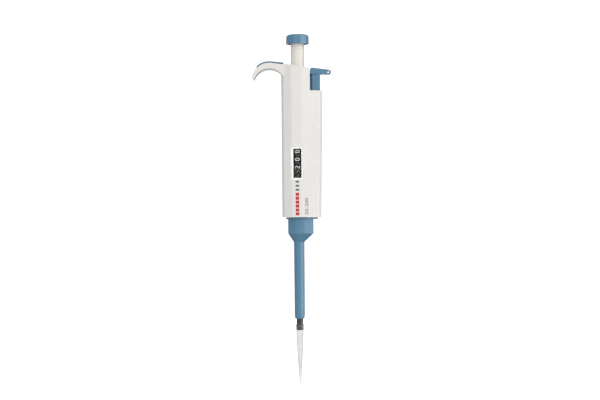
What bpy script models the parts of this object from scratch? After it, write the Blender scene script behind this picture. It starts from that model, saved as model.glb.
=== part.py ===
"""Single-channel air-displacement pipette, 20 to 200 microlitres, with one tip fitted.

Every piece hangs on one empty that stands on the plunger's axis at the height of the tip's
mouth, so inside this file x is measured from that axis and z from the tip's mouth.
The world's origin is the flat at the top of the finger hook, by which the pipette hangs.
+X points from the hook to the ejector button, and the counter's window faces -Y.
"""

from math import cos, pi, radians, sin, sqrt

import bmesh
import bpy
from mathutils import Vector

MM = 0.001

# ---- fits -----------------------------------------------------------------------------------
GAP = 0.3 * MM            # between two pieces that rest on each other
RUNNING = 0.1 * MM        # between a piston, pin or cone and the bore it runs in
LOOSE = 0.5 * MM          # round a piece that passes through a hole

# ---- strokes --------------------------------------------------------------------------------
FIRST_STOP = 12.6 * MM    # measuring stroke
BLOW_OUT = 3.0 * MM       # over-travel that empties the tip
EJECT_STROKE = 9.6 * MM

# ---- tip ------------------------------------------------------------------------------------
TIP_LENGTH = 51.1 * MM
TIP_MOUTH_RADIUS = 0.53 * MM
TIP_WALL = 0.3 * MM
TIP_COLLAR_RADIUS = 3.3 * MM
TIP_BODY_RADIUS = 2.6 * MM
TIP_TAPER_HEIGHT = 35.0 * MM
TIP_COLLAR_HEIGHT = 4.6 * MM
CONE_ENGAGEMENT = 4.8 * MM

# ---- lower part: tip cone with its barrel -----------------------------------------------------
CONE_NOSE_RADIUS = 2.45 * MM
CONE_RADIUS = 2.7 * MM
CONE_SHAFT_RADIUS = 3.1 * MM
CONE_AIR_RADIUS = 0.75 * MM
CONE_NOSE_FLOOR = 20.0 * MM      # solid length under the piston's bore
PISTON_RADIUS = 2.25 * MM
PISTON_DIP = 20.0 * MM           # piston's end above its bore's floor, at rest
BARREL_RADIUS = 6.5 * MM
BARREL_WALL = 0.9 * MM
BARREL_MARGIN = 1.5 * MM         # barrel's rim above the piston's cap

# ---- ejector sleeve ---------------------------------------------------------------------------
SLEEVE_GAP = 4.7 * MM            # sleeve's mouth above the tip's rim
SLEEVE_TUBE_LENGTH = 62.5 * MM
SLEEVE_RADIUS = 4.15 * MM
SLEEVE_TOP_RADIUS = 4.35 * MM
SLEEVE_WALL = 0.65 * MM
SLEEVE_LIP_HEIGHT = 0.8 * MM
SLEEVE_SHOULDER = 7.0 * MM
SLEEVE_BLOCK_HEIGHT = 11.7 * MM
BLOCK_SQUARENESS = 0.45          # 1 is an ellipse, 0 a rectangle
SLEEVE_BLOCK_LEFT = -BARREL_RADIUS - 2.4 * MM
SLEEVE_BLOCK_RIGHT = 11.8 * MM
SLEEVE_BLOCK_DEPTH = BARREL_RADIUS + 2.3 * MM
SLEEVE_FLANGE = 1.3 * MM
SLEEVE_FLANGE_LEFT = SLEEVE_BLOCK_LEFT - 1.7 * MM
SLEEVE_FLANGE_RIGHT = 15.6 * MM
SLEEVE_FLANGE_DEPTH = SLEEVE_BLOCK_DEPTH + 0.4 * MM

# ---- handle -----------------------------------------------------------------------------------
HANDLE_LEFT = -13.5 * MM
HANDLE_RIGHT_LOW = 18.4 * MM
HANDLE_RIGHT_HIGH = 20.2 * MM
HANDLE_NECK_RIGHT = 9.7 * MM
HANDLE_HALF_DEPTH = BARREL_RADIUS + 5.5 * MM    # room for the nut round the barrel
HANDLE_END_HALF_DEPTH = 5.2 * MM
HANDLE_LEDGE_HEIGHT = 103.0 * MM     # handle's bottom to the ledge beside the neck
HANDLE_NECK_HEIGHT = 18.4 * MM       # ledge to the top, at the neck's right side
HANDLE_TOP_RISE = 3.4 * MM           # further rise to the crest over the hook
HANDLE_CREST_X = -11.0 * MM
HANDLE_WALL = 1.8 * MM
HANDLE_SIDE_WALL = 1.5 * MM
HANDLE_FLOOR = 3.0 * MM
FACE_LEFT = -5.0 * MM                # flat face that holds the window
FACE_RIGHT = 2.6 * MM

# ---- finger hook ------------------------------------------------------------------------------
HOOK_RADIUS = 13.0 * MM
HOOK_CENTRE_X = -23.2 * MM
HOOK_BELOW_TOP = 16.8 * MM           # arc's centre below the handle's crest
HOOK_THICKNESS = 4.8 * MM
HOOK_TIP_THICKNESS = 1.8 * MM
HOOK_HALF_WIDTH = 9.1 * MM
HOOK_TIP_ANGLE = 161
HOOK_STEP = 10                       # degrees per flat of the arc
TENON_HALF_WIDTH = 2.0 * MM          # joint that holds the hook to the shells
TENON_HEIGHT = 4.5 * MM
TENON_BELOW_TOP = 7.4 * MM
TENON_HEAD_HALF_WIDTH = 4.0 * MM
TENON_HEAD_THICKNESS = 1.5 * MM
PAD_THICKNESS = 1.2 * MM
PAD_END_X = -11.2 * MM
PAD_START_ANGLE = 126

# ---- counter ----------------------------------------------------------------------------------
WHEEL_RADIUS = 8.8 * MM
WHEEL_WIDTH = 6.0 * MM
WHEEL_PITCH = 6.36 * MM
GEAR_TEETH = 20
PINION_TEETH = 8
TOOTH_ROOT_SHARE = 0.62          # of a tooth's thickness, half of its root and of its tip
TOOTH_TIP_SHARE = 0.3
FRAME_CLEARANCE = 2.4 * MM       # plates beyond the pinions' axis
GUIDE_WALL = 1.2 * MM            # round the ejector's rod
BRAKE_WALL = 1.4 * MM
BRAKE_HEIGHT = 1.6 * MM
GEAR_PITCH_RADIUS = WHEEL_RADIUS - 0.8 * MM
TOOTH_RISE = 0.6 * MM                # tooth's tip above the pitch circle
TOOTH_DROP = 0.85 * MM               # tooth's root below it
GEAR_HEIGHT = 1.4 * MM
PINION_HEIGHT = 0.9 * MM
PINION_DIRECTION = radians(18)
PINION_SHAFT_RADIUS = 0.8 * MM
PLATE_HEIGHT = 2.8 * MM
POST_SIZE = 2.0 * MM
WINDOW_CENTRE_X = -0.85 * MM
WINDOW_WIDTH = 6.6 * MM
WINDOW_HEIGHT = 23.8 * MM
LENS_MARGIN = 1.45 * MM
LENS_THICKNESS = 0.7 * MM

# ---- plunger ----------------------------------------------------------------------------------
ROD_RADIUS = 1.5 * MM
COLLAR_RADIUS = 4.4 * MM
COLLAR_HEIGHT = 2.4 * MM
SCREW_RADIUS = 3.2 * MM
SCREW_THREAD_RADIUS = 3.5 * MM
HEX_HALF_WIDTH = 3.7 * MM            # half the width across flats
HEX_LENGTH = 11.0 * MM
HEX_OVERLAP = 9.0 * MM               # button sleeve over the hexagon, at rest
BUTTON_SLEEVE_RADIUS = 5.5 * MM
BUTTON_RADIUS = 9.5 * MM
BUTTON_HEIGHT = 8.3 * MM
BUTTON_CLEARANCE = 18.4 * MM         # button's underside above the handle, over its axis
BUTTON_SIDES = 10
BUTTON_SOCKET = 2.0 * MM             # depth that takes the sleeve's end
BUTTON_CROWN = 2.7 * MM              # height over which the top closes
BUTTON_CROWN_WIDTH = 1.3 * MM
BUTTON_CROWN_RISE = 0.8 * MM
BUSH_WALL = 1.5 * MM
BUSH_HEIGHT = 4.4 * MM
NUT_RADIUS = 7.6 * MM
NUT_HEIGHT = 6.0 * MM

# ---- springs and seals ------------------------------------------------------------------------
SEAL_HEIGHT = 2.3 * MM
RETAINER_HEIGHT = 2.5 * MM
O_RING_WIRE = 0.5 * MM
BLOWOUT_SPRING_LENGTH = BLOW_OUT + 3.4 * MM
BLOWOUT_WIRE = 0.35 * MM
SEAT_FLANGE = 1.5 * MM
SEAT_TUBE = 6.6 * MM
SEAT_TUBE_WALL = 0.8 * MM
PISTON_WIRE = 0.25 * MM
CAP_HEIGHT = 2.9 * MM
CAP_SKIRT = 1.4 * MM                 # depth of the socket that takes the piston's end
CAP_CLEARANCE = 0.1 * MM             # left between cap and blow-out seat at the end of the press
SEAL_LIP = 1.2 * MM
NUT_WALL = 2.4 * MM
NUT_SIDES = 8

# ---- ejector ----------------------------------------------------------------------------------
EJECTOR_ROD_X = 13.8 * MM
EJECTOR_ROD_Y = -2.2 * MM
EJECTOR_ROD_RADIUS = 1.6 * MM
EJECTOR_COLLAR_RADIUS = 3.0 * MM
EJECTOR_COLLAR_HEIGHT = 2.0 * MM
EJECTOR_WIRE = 0.35 * MM
STEM_LEFT = 11.5 * MM
STEM_RIGHT = 18.3 * MM
STEM_LOW_RIGHT = 17.4 * MM
STEM_HALF_DEPTH = 5.0 * MM
STEM_BELOW_LEDGE = EJECT_STROKE + 4.8 * MM
STEM_SOCKET = 8.0 * MM
KEY_HALF_DEPTH = 1.0 * MM
KEY_WIDTH = 1.5 * MM
HEAD_BELOW_TOP = 4.9 * MM            # ejector head's underside below the handle's top
HEAD_HEIGHT = 5.3 * MM
HEAD_ARM_HEIGHT = 3.5 * MM
HEAD_REACH = 27.2 * MM
HEAD_HALF_DEPTH = 6.0 * MM
HEAD_CORNER = 1.8 * MM
HEAD_CORNER_MIDDLE = 0.5 * MM
HEAD_HOLE_X = 24.9 * MM
HEAD_HOLE_RADIUS = 1.0 * MM

# ---- places along the axis, from the tip's mouth upwards ----------------------------------------
CONE_END_Z = TIP_LENGTH - CONE_ENGAGEMENT
SLEEVE_END_Z = TIP_LENGTH + SLEEVE_GAP
SLEEVE_TUBE_TOP_Z = SLEEVE_END_Z + SLEEVE_TUBE_LENGTH
BLOCK_BOTTOM_Z = SLEEVE_TUBE_TOP_Z + SLEEVE_SHOULDER
BLOCK_TOP_Z = BLOCK_BOTTOM_Z + SLEEVE_BLOCK_HEIGHT
FLANGE_TOP_Z = BLOCK_TOP_Z + SLEEVE_FLANGE
HANDLE_BOTTOM_Z = FLANGE_TOP_Z + GAP
LEDGE_Z = HANDLE_BOTTOM_Z + HANDLE_LEDGE_HEIGHT
HANDLE_TOP_Z = LEDGE_Z + HANDLE_NECK_HEIGHT
CREST_Z = HANDLE_TOP_Z + HANDLE_TOP_RISE
CAVITY_FLOOR_Z = HANDLE_BOTTOM_Z + HANDLE_FLOOR

CHAMBER_FLOOR_Z = BLOCK_BOTTOM_Z + 2 * LOOSE
CHAMBER_RADIUS = BARREL_RADIUS - BARREL_WALL
SEAL_Z = CHAMBER_FLOOR_Z + GAP
RETAINER_Z = SEAL_Z + SEAL_HEIGHT + GAP
BLOWOUT_SPRING_Z = RETAINER_Z + RETAINER_HEIGHT
SEAT_Z = BLOWOUT_SPRING_Z + BLOWOUT_SPRING_LENGTH
SEAT_FLANGE_TOP_Z = SEAT_Z + SEAT_FLANGE
SEAT_TOP_Z = SEAT_FLANGE_TOP_Z + SEAT_TUBE
CAP_Z = SEAT_TOP_Z + FIRST_STOP + CAP_CLEARANCE
CAP_TOP_Z = CAP_Z + CAP_HEIGHT
PISTON_BORE_FLOOR_Z = CONE_END_Z + CONE_NOSE_FLOOR
PISTON_END_Z = PISTON_BORE_FLOOR_Z + PISTON_DIP
BARREL_TOP_Z = CAP_TOP_Z + BARREL_MARGIN

ROD_END_Z = CAP_TOP_Z + GAP
COLLAR_Z = BARREL_TOP_Z + LOOSE
SCREW_END_Z = COLLAR_Z + COLLAR_HEIGHT + GAP
LOW_PLATE_Z = SCREW_END_Z + GAP
BASE_RING_Z = LOW_PLATE_Z + PLATE_HEIGHT + GAP
HUNDREDS_Z = BASE_RING_Z + WHEEL_PITCH
TENS_Z = HUNDREDS_Z + WHEEL_PITCH
UNITS_Z = TENS_Z + WHEEL_PITCH
WINDOW_CENTRE_Z = (BASE_RING_Z + UNITS_Z + WHEEL_WIDTH) / 2
HIGH_PLATE_Z = UNITS_Z + WHEEL_WIDTH + 2 * LOOSE
NUT_Z = HIGH_PLATE_Z + PLATE_HEIGHT + GAP
BRAKE_Z = NUT_Z + NUT_HEIGHT + GAP

AXIS_TOP_Z = HANDLE_TOP_Z + HANDLE_TOP_RISE * HANDLE_NECK_RIGHT / (HANDLE_NECK_RIGHT - HANDLE_CREST_X)
BUTTON_Z = AXIS_TOP_Z + BUTTON_CLEARANCE
HEX_TOP_Z = HANDLE_TOP_Z - BUSH_HEIGHT
HEX_Z = HEX_TOP_Z - HEX_LENGTH
BUTTON_SLEEVE_Z = HEX_TOP_Z - HEX_OVERLAP

STEM_END_Z = LEDGE_Z - STEM_BELOW_LEDGE
HEAD_Z = HANDLE_TOP_Z - HEAD_BELOW_TOP
EJECTOR_COLLAR_Z = STEM_END_Z - EJECTOR_COLLAR_HEIGHT - 2 * GAP
EJECTOR_SPRING_Z = HIGH_PLATE_Z + PLATE_HEIGHT

HOOK_CENTRE_Z = CREST_Z - HOOK_BELOW_TOP
HOOK_FLAT_Z = HOOK_CENTRE_Z + HOOK_RADIUS
TENON_LOW_Z = CREST_Z - TENON_BELOW_TOP
TENON_HIGH_Z = TENON_LOW_Z + TENON_HEIGHT

PINION_PITCH_RADIUS = GEAR_PITCH_RADIUS * PINION_TEETH / GEAR_TEETH
PINION_DISTANCE = GEAR_PITCH_RADIUS + PINION_PITCH_RADIUS
PINION_X = PINION_DISTANCE * cos(PINION_DIRECTION)
PINION_Y = PINION_DISTANCE * sin(PINION_DIRECTION)

# ---- finishes: colour, roughness, metallic ------------------------------------------------------
WHITE_PLASTIC = ((0.80, 0.79, 0.76), 0.42, 0.0)
IVORY_PLASTIC = ((0.83, 0.80, 0.73), 0.35, 0.0)
BLUE_PLASTIC = ((0.14, 0.25, 0.34), 0.40, 0.0)
DARK_PLASTIC = ((0.045, 0.045, 0.05), 0.38, 0.0)
BLACK_PLASTIC = ((0.012, 0.012, 0.013), 0.45, 0.0)
NATURAL_PLASTIC = ((0.62, 0.61, 0.57), 0.45, 0.0)
CLEAR_PLASTIC = ((0.85, 0.86, 0.86), 0.12, 0.0)
SEAL_RUBBER = ((0.02, 0.02, 0.02), 0.60, 0.0)
POLISHED_STEEL = ((0.62, 0.62, 0.64), 0.22, 1.0)
SPRING_STEEL = ((0.45, 0.45, 0.47), 0.30, 1.0)
TURNED_BRASS = ((0.65, 0.50, 0.24), 0.30, 1.0)


def clear_scene():
    for item in list(bpy.data.objects):
        bpy.data.objects.remove(item, do_unlink=True)


def stand():
    """The empty on the plunger's axis that carries every piece."""
    axis = bpy.data.objects.new("plunger_axis", None)
    axis.location = (-HOOK_CENTRE_X, 0, -HOOK_FLAT_Z)
    bpy.context.scene.collection.objects.link(axis)
    return axis


def give_material(item, finish):
    colour, roughness, metallic = finish
    material = bpy.data.materials.new(item.name + "_finish")
    material.use_nodes = True
    shader = material.node_tree.nodes["Principled BSDF"]
    shader.inputs["Base Color"].default_value = (*colour, 1)
    shader.inputs["Roughness"].default_value = roughness
    shader.inputs["Metallic"].default_value = metallic
    item.data.materials.append(material)


def place(name, bm, at):
    """Turn a bmesh into an object that hangs on the plunger's axis."""
    bmesh.ops.recalc_face_normals(bm, faces=bm.faces)
    mesh = bpy.data.meshes.new(name)
    bm.to_mesh(mesh)
    bm.free()
    item = bpy.data.objects.new(name, mesh)
    item.parent = AXIS
    item.location = at
    bpy.context.scene.collection.objects.link(item)
    return item


def piece(name, bm, finish, at=(0, 0, 0)):
    item = place(name, bm, at)
    give_material(item, finish)
    item.data.shade_smooth()
    item.data.set_sharp_from_angle(angle=radians(35))
    return item


def reshape(item, operation, tool_name, bm, at=(0, 0, 0)):
    """Cut, join or intersect a piece with a shape that stays hidden."""
    tool = place(item.name + "_" + tool_name, bm, at)
    tool.hide_render = True
    tool.display_type = "WIRE"
    step = item.modifiers.new(tool_name, "BOOLEAN")
    step.operation = operation
    step.object = tool


def turned(profile, steps=24):
    """Spin a profile of (radius, height) points; a closed ring unless it ends on the axis."""
    bm = bmesh.new()
    points = [bm.verts.new((radius, 0, height)) for radius, height in profile]
    pairs = list(zip(points, points[1:]))
    if profile[0][0] > 0:
        pairs.append((points[-1], points[0]))
    edges = [bm.edges.new(pair) for pair in pairs]
    bmesh.ops.spin(
        bm,
        geom=points + edges,
        cent=(0, 0, 0),
        axis=(0, 0, 1),
        angle=2 * pi,
        steps=steps,
        use_merge=True,
    )
    bmesh.ops.remove_doubles(bm, verts=bm.verts, dist=0.00001)
    return bm


def ring(inner, outer, low, high, steps=24):
    return turned([(inner, low), (outer, low), (outer, high), (inner, high)], steps)


def rod(radius, low, high, steps=24):
    return turned([(0, low), (radius, low), (radius, high), (0, high)], steps)


def prism(outline, low, high, along="Z"):
    """Extrude an outline: (x, y) points along Z, or (x, z) points along Y."""
    bm = bmesh.new()
    if along == "Z":
        points = [bm.verts.new((x, y, low)) for x, y in outline]
        way = Vector((0, 0, high - low))
    else:
        points = [bm.verts.new((x, low, z)) for x, z in outline]
        way = Vector((0, high - low, 0))
    face = bm.faces.new(points)
    grown = bmesh.ops.extrude_face_region(bm, geom=[face])
    top = [part for part in grown["geom"] if isinstance(part, bmesh.types.BMVert)]
    bmesh.ops.translate(bm, verts=top, vec=way)
    return bm


def box(left, right, front, back, low, high):
    return prism([(left, front), (right, front), (right, back), (left, back)], low, high)


def polygon(sides, half_width):
    """A regular outline of the given half width across its flats."""
    corner = half_width / cos(pi / sides)
    turns = [2 * pi * (k + 0.5) / sides for k in range(sides)]
    return [(corner * cos(turn), corner * sin(turn)) for turn in turns]


def rounded_section(left, right, half_depth, squareness, height, points=24):
    """One loop of a loft: an ellipse at squareness 1, nearer a rectangle as it falls."""
    loop = []
    middle = (left + right) / 2
    half_width = (right - left) / 2
    for k in range(points):
        turn = 2 * pi * k / points
        across = abs(cos(turn)) ** squareness * (1 if cos(turn) >= 0 else -1)
        deep = abs(sin(turn)) ** squareness * (1 if sin(turn) >= 0 else -1)
        loop.append((middle + half_width * across, half_depth * deep, height))
    return loop


def loft(sections):
    bm = bmesh.new()
    loops = []
    for section in sections:
        points = [bm.verts.new(point) for point in section]
        loops.append([bm.edges.new((a, b)) for a, b in zip(points, points[1:] + points[:1])])
    for lower, upper in zip(loops, loops[1:]):
        bmesh.ops.bridge_loops(bm, edges=lower + upper)
    for ends in (loops[0], loops[-1]):
        bmesh.ops.contextual_create(bm, geom=ends)
    return bm


def gear_outline(teeth, pitch_radius, turn, thickness):
    """Teeth with straight flanks; one tooth points along the angle turn."""
    outline = []
    for k in range(teeth):
        middle = turn + 2 * pi * k / teeth
        root = pitch_radius - TOOTH_DROP
        tip = pitch_radius + TOOTH_RISE
        for radius, half in ((root, TOOTH_ROOT_SHARE), (tip, TOOTH_TIP_SHARE)):
            angle = middle - half * thickness / radius
            outline.append((radius * cos(angle), radius * sin(angle)))
        for radius, half in ((tip, TOOTH_TIP_SHARE), (root, TOOTH_ROOT_SHARE)):
            angle = middle + half * thickness / radius
            outline.append((radius * cos(angle), radius * sin(angle)))
    return outline


def spring(name, mean_radius, wire, low, high, turns, x=0, y=0):
    """A coil that stands between two heights, wound from one curve."""
    curve = bpy.data.curves.new(name, "CURVE")
    curve.dimensions = "3D"
    curve.bevel_depth = wire
    curve.bevel_resolution = 1
    curve.use_fill_caps = True
    line = curve.splines.new("POLY")
    per_turn = 12
    count = turns * per_turn
    line.points.add(count)
    bottom = low + wire + GAP
    top = high - wire - GAP
    for k in range(count + 1):
        turn = 2 * pi * k / per_turn
        height = bottom + (top - bottom) * k / count
        line.points[k].co = (mean_radius * cos(turn), mean_radius * sin(turn), height, 1)
    item = bpy.data.objects.new(name, curve)
    item.parent = AXIS
    item.location = (x, y, 0)
    bpy.context.scene.collection.objects.link(item)
    give_material(item, SPRING_STEEL)
    return item


# ---- handle ---------------------------------------------------------------------------------------

def handle_corners():
    """The handle's half depth at each x where one of its long facets ends."""
    return [
        (HANDLE_LEFT, HANDLE_END_HALF_DEPTH),
        (HANDLE_LEFT + 0.18 * (FACE_LEFT - HANDLE_LEFT), 0.68 * HANDLE_HALF_DEPTH),
        (FACE_LEFT - 1.6 * MM, 0.94 * HANDLE_HALF_DEPTH),
        (FACE_LEFT, HANDLE_HALF_DEPTH),
        (FACE_RIGHT, HANDLE_HALF_DEPTH),
        (HANDLE_RIGHT_HIGH - 2.4 * MM, 0.66 * HANDLE_HALF_DEPTH),
        (HANDLE_RIGHT_HIGH, HANDLE_END_HALF_DEPTH),
    ]


def half_depth(x):
    corners = handle_corners()
    for (x0, y0), (x1, y1) in zip(corners, corners[1:]):
        if x <= x1:
            return y0 + (y1 - y0) * (x - x0) / (x1 - x0)
    return corners[-1][1]


def handle_section(inset, left, right):
    """The handle's cross-section between two x, drawn in by an inset of its depth."""
    stops = [left] + [x for x, _ in handle_corners() if left < x < right] + [right]
    front = [(x, inset - half_depth(x)) for x in stops]
    back = [(x, half_depth(x) - inset) for x in reversed(stops)]
    return front + back


def handle_top(x):
    slope = HANDLE_TOP_RISE / (HANDLE_NECK_RIGHT - HANDLE_CREST_X)
    return HANDLE_TOP_Z + slope * (HANDLE_NECK_RIGHT - x)


def handle_silhouette():
    return [
        (HANDLE_LEFT, HANDLE_BOTTOM_Z),
        (HANDLE_RIGHT_LOW, HANDLE_BOTTOM_Z),
        (HANDLE_RIGHT_HIGH, LEDGE_Z),
        (HANDLE_NECK_RIGHT, LEDGE_Z),
        (HANDLE_NECK_RIGHT, HANDLE_TOP_Z),
        (HANDLE_CREST_X, CREST_Z),
        (HANDLE_LEFT, CREST_Z - 1.6 * MM),
    ]


def cavity_silhouette():
    left = HANDLE_LEFT + HANDLE_WALL
    neck = HANDLE_NECK_RIGHT - HANDLE_SIDE_WALL
    return [
        (left, CAVITY_FLOOR_Z),
        (HANDLE_RIGHT_LOW - HANDLE_SIDE_WALL, CAVITY_FLOOR_Z),
        (HANDLE_RIGHT_HIGH - HANDLE_SIDE_WALL, LEDGE_Z - HANDLE_WALL),
        (neck, LEDGE_Z - HANDLE_WALL),
        (neck, handle_top(neck) - HANDLE_WALL),
        (left, handle_top(left) - HANDLE_WALL),
    ]


def handle_half(name, side):
    """One half shell: side is -1 for the window's side and +1 for the back."""
    far = 2 * HANDLE_HALF_DEPTH
    low = HANDLE_BOTTOM_Z - LOOSE
    high = CREST_Z + LOOSE
    item = piece(name, prism(handle_silhouette(), -far, far, "Y"), WHITE_PLASTIC)
    outline = handle_section(0, HANDLE_LEFT, HANDLE_RIGHT_HIGH)
    reshape(item, "INTERSECT", "facets", prism(outline, low, high))
    left = HANDLE_LEFT - far
    right = HANDLE_RIGHT_HIGH + far
    if side < 0:
        other = box(left, right, -GAP / 2, 2 * far, low - LOOSE, high + LOOSE)
    else:
        other = box(left, right, -2 * far, GAP / 2, low - LOOSE, high + LOOSE)
    reshape(item, "DIFFERENCE", "other_half", other)
    hollow = place(name + "_hollow", prism(cavity_silhouette(), -far, far, "Y"), (0, 0, 0))
    hollow.hide_render = True
    hollow.display_type = "WIRE"
    inner = handle_section(HANDLE_WALL, HANDLE_LEFT + LOOSE, HANDLE_RIGHT_HIGH - LOOSE)
    reshape(hollow, "INTERSECT", "facets", prism(inner, low, high))
    step = item.modifiers.new("hollow", "BOOLEAN")
    step.operation = "DIFFERENCE"
    step.object = hollow
    bore = BARREL_RADIUS + GAP
    reshape(item, "DIFFERENCE", "barrel_hole", rod(bore, low, CAVITY_FLOOR_Z + LOOSE))
    throat = BUTTON_SLEEVE_RADIUS + LOOSE
    reshape(item, "DIFFERENCE", "throat", rod(throat, HANDLE_TOP_Z - BUSH_HEIGHT, high + LOOSE))
    stem = box(
        STEM_LEFT - KEY_WIDTH - GAP / 2,
        STEM_RIGHT + GAP,
        -STEM_HALF_DEPTH - GAP,
        STEM_HALF_DEPTH + GAP,
        LEDGE_Z - 2 * HANDLE_WALL,
        LEDGE_Z + LOOSE,
    )
    reshape(item, "DIFFERENCE", "stem_slot", stem)
    tenon = box(
        HANDLE_LEFT - LOOSE,
        HANDLE_LEFT + HANDLE_WALL + LOOSE,
        -TENON_HALF_WIDTH - GAP,
        TENON_HALF_WIDTH + GAP,
        TENON_LOW_Z - GAP,
        TENON_HIGH_Z + GAP,
    )
    reshape(item, "DIFFERENCE", "tenon_slot", tenon)
    return item


def window_box(margin, front, back):
    half = WINDOW_WIDTH / 2 + margin
    tall = WINDOW_HEIGHT / 2 + margin
    return box(
        WINDOW_CENTRE_X - half,
        WINDOW_CENTRE_X + half,
        front,
        back,
        WINDOW_CENTRE_Z - tall,
        WINDOW_CENTRE_Z + tall,
    )


def make_handle():
    front = handle_half("handle_front", -1)
    lens_back = -HANDLE_HALF_DEPTH + LENS_THICKNESS
    outside = -HANDLE_HALF_DEPTH - 2 * MM
    inside = -HANDLE_HALF_DEPTH + 2 * HANDLE_WALL
    recess = window_box(LENS_MARGIN + GAP, outside, lens_back + GAP)
    reshape(front, "DIFFERENCE", "lens_recess", recess)
    reshape(front, "DIFFERENCE", "window", window_box(0, outside, inside))
    rod_hole = rod(EJECTOR_ROD_RADIUS + GAP, HANDLE_BOTTOM_Z - LOOSE, CAVITY_FLOOR_Z + LOOSE)
    reshape(front, "DIFFERENCE", "rod_hole", rod_hole, (EJECTOR_ROD_X, EJECTOR_ROD_Y, 0))
    handle_half("handle_back", 1)
    lens = window_box(LENS_MARGIN, -HANDLE_HALF_DEPTH, lens_back)
    piece("window_lens", lens, CLEAR_PLASTIC)


# ---- finger hook ----------------------------------------------------------------------------------

def hook_inner(degrees):
    """A corner of the hook's inner arc; the flat between 85 and 95 degrees is level."""
    radius = HOOK_RADIUS / cos(radians(HOOK_STEP / 2))
    turn = radians(degrees)
    return (HOOK_CENTRE_X + radius * cos(turn), HOOK_CENTRE_Z + radius * sin(turn))


def hook_thickness(degrees):
    """Full thickness from the wall to just past the crown, then thinning to the tip."""
    thinning = max(0, degrees - 100) / (HOOK_TIP_ANGLE - 100)
    return HOOK_THICKNESS + (HOOK_TIP_THICKNESS - HOOK_THICKNESS) * thinning ** 1.4


def hook_outer(degrees, stand_off=0.0):
    radius = HOOK_RADIUS + hook_thickness(degrees) + stand_off
    turn = radians(degrees)
    return (HOOK_CENTRE_X + radius * cos(turn), HOOK_CENTRE_Z + radius * sin(turn))


def hook_angles(start, stop):
    first = 90 - HOOK_STEP / 2
    inside = [first + HOOK_STEP * k for k in range(-9, 10)]
    return [start] + [turn for turn in inside if start + 2 < turn < stop - 2] + [stop]


def make_hook():
    wall = HANDLE_LEFT - GAP
    rise = sqrt(HOOK_RADIUS ** 2 - (wall - HOOK_CENTRE_X) ** 2)
    inner = [hook_inner(turn) for turn in hook_angles(52, HOOK_TIP_ANGLE)]
    outer = [hook_outer(turn) for turn in hook_angles(85, HOOK_TIP_ANGLE - 3)]
    root = [(wall, HOOK_CENTRE_Z + rise), (wall, CREST_Z - 2 * GAP)]
    outline = list(reversed(root)) + inner + list(reversed(outer))
    bm = prism(outline, -HOOK_HALF_WIDTH, HOOK_HALF_WIDTH, "Y")
    hook = piece("finger_hook", bm, WHITE_PLASTIC)
    cavity = HANDLE_LEFT + HANDLE_WALL + GAP
    tongue = box(
        wall - 3 * MM,
        cavity + TENON_HEAD_THICKNESS / 2,
        -TENON_HALF_WIDTH,
        TENON_HALF_WIDTH,
        TENON_LOW_Z,
        TENON_HIGH_Z,
    )
    reshape(hook, "UNION", "tongue", tongue)
    head = box(
        cavity,
        cavity + TENON_HEAD_THICKNESS,
        -TENON_HEAD_HALF_WIDTH,
        TENON_HEAD_HALF_WIDTH,
        TENON_LOW_Z + GAP,
        TENON_HIGH_Z - GAP,
    )
    reshape(hook, "UNION", "head", head)

    turns = hook_angles(85, PAD_START_ANGLE)
    under = [hook_outer(turn, GAP) for turn in turns]
    over = [hook_outer(turn, GAP + PAD_THICKNESS) for turn in turns]
    end_z = CREST_Z + GAP
    end = [(PAD_END_X, end_z), (PAD_END_X, end_z + PAD_THICKNESS - GAP)]
    pad = end + over + list(reversed(under))
    width = HOOK_HALF_WIDTH - 2 * GAP
    piece("hook_pad", prism(pad, -width, width, "Y"), BLUE_PLASTIC)


# ---- lower part -----------------------------------------------------------------------------------

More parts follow.
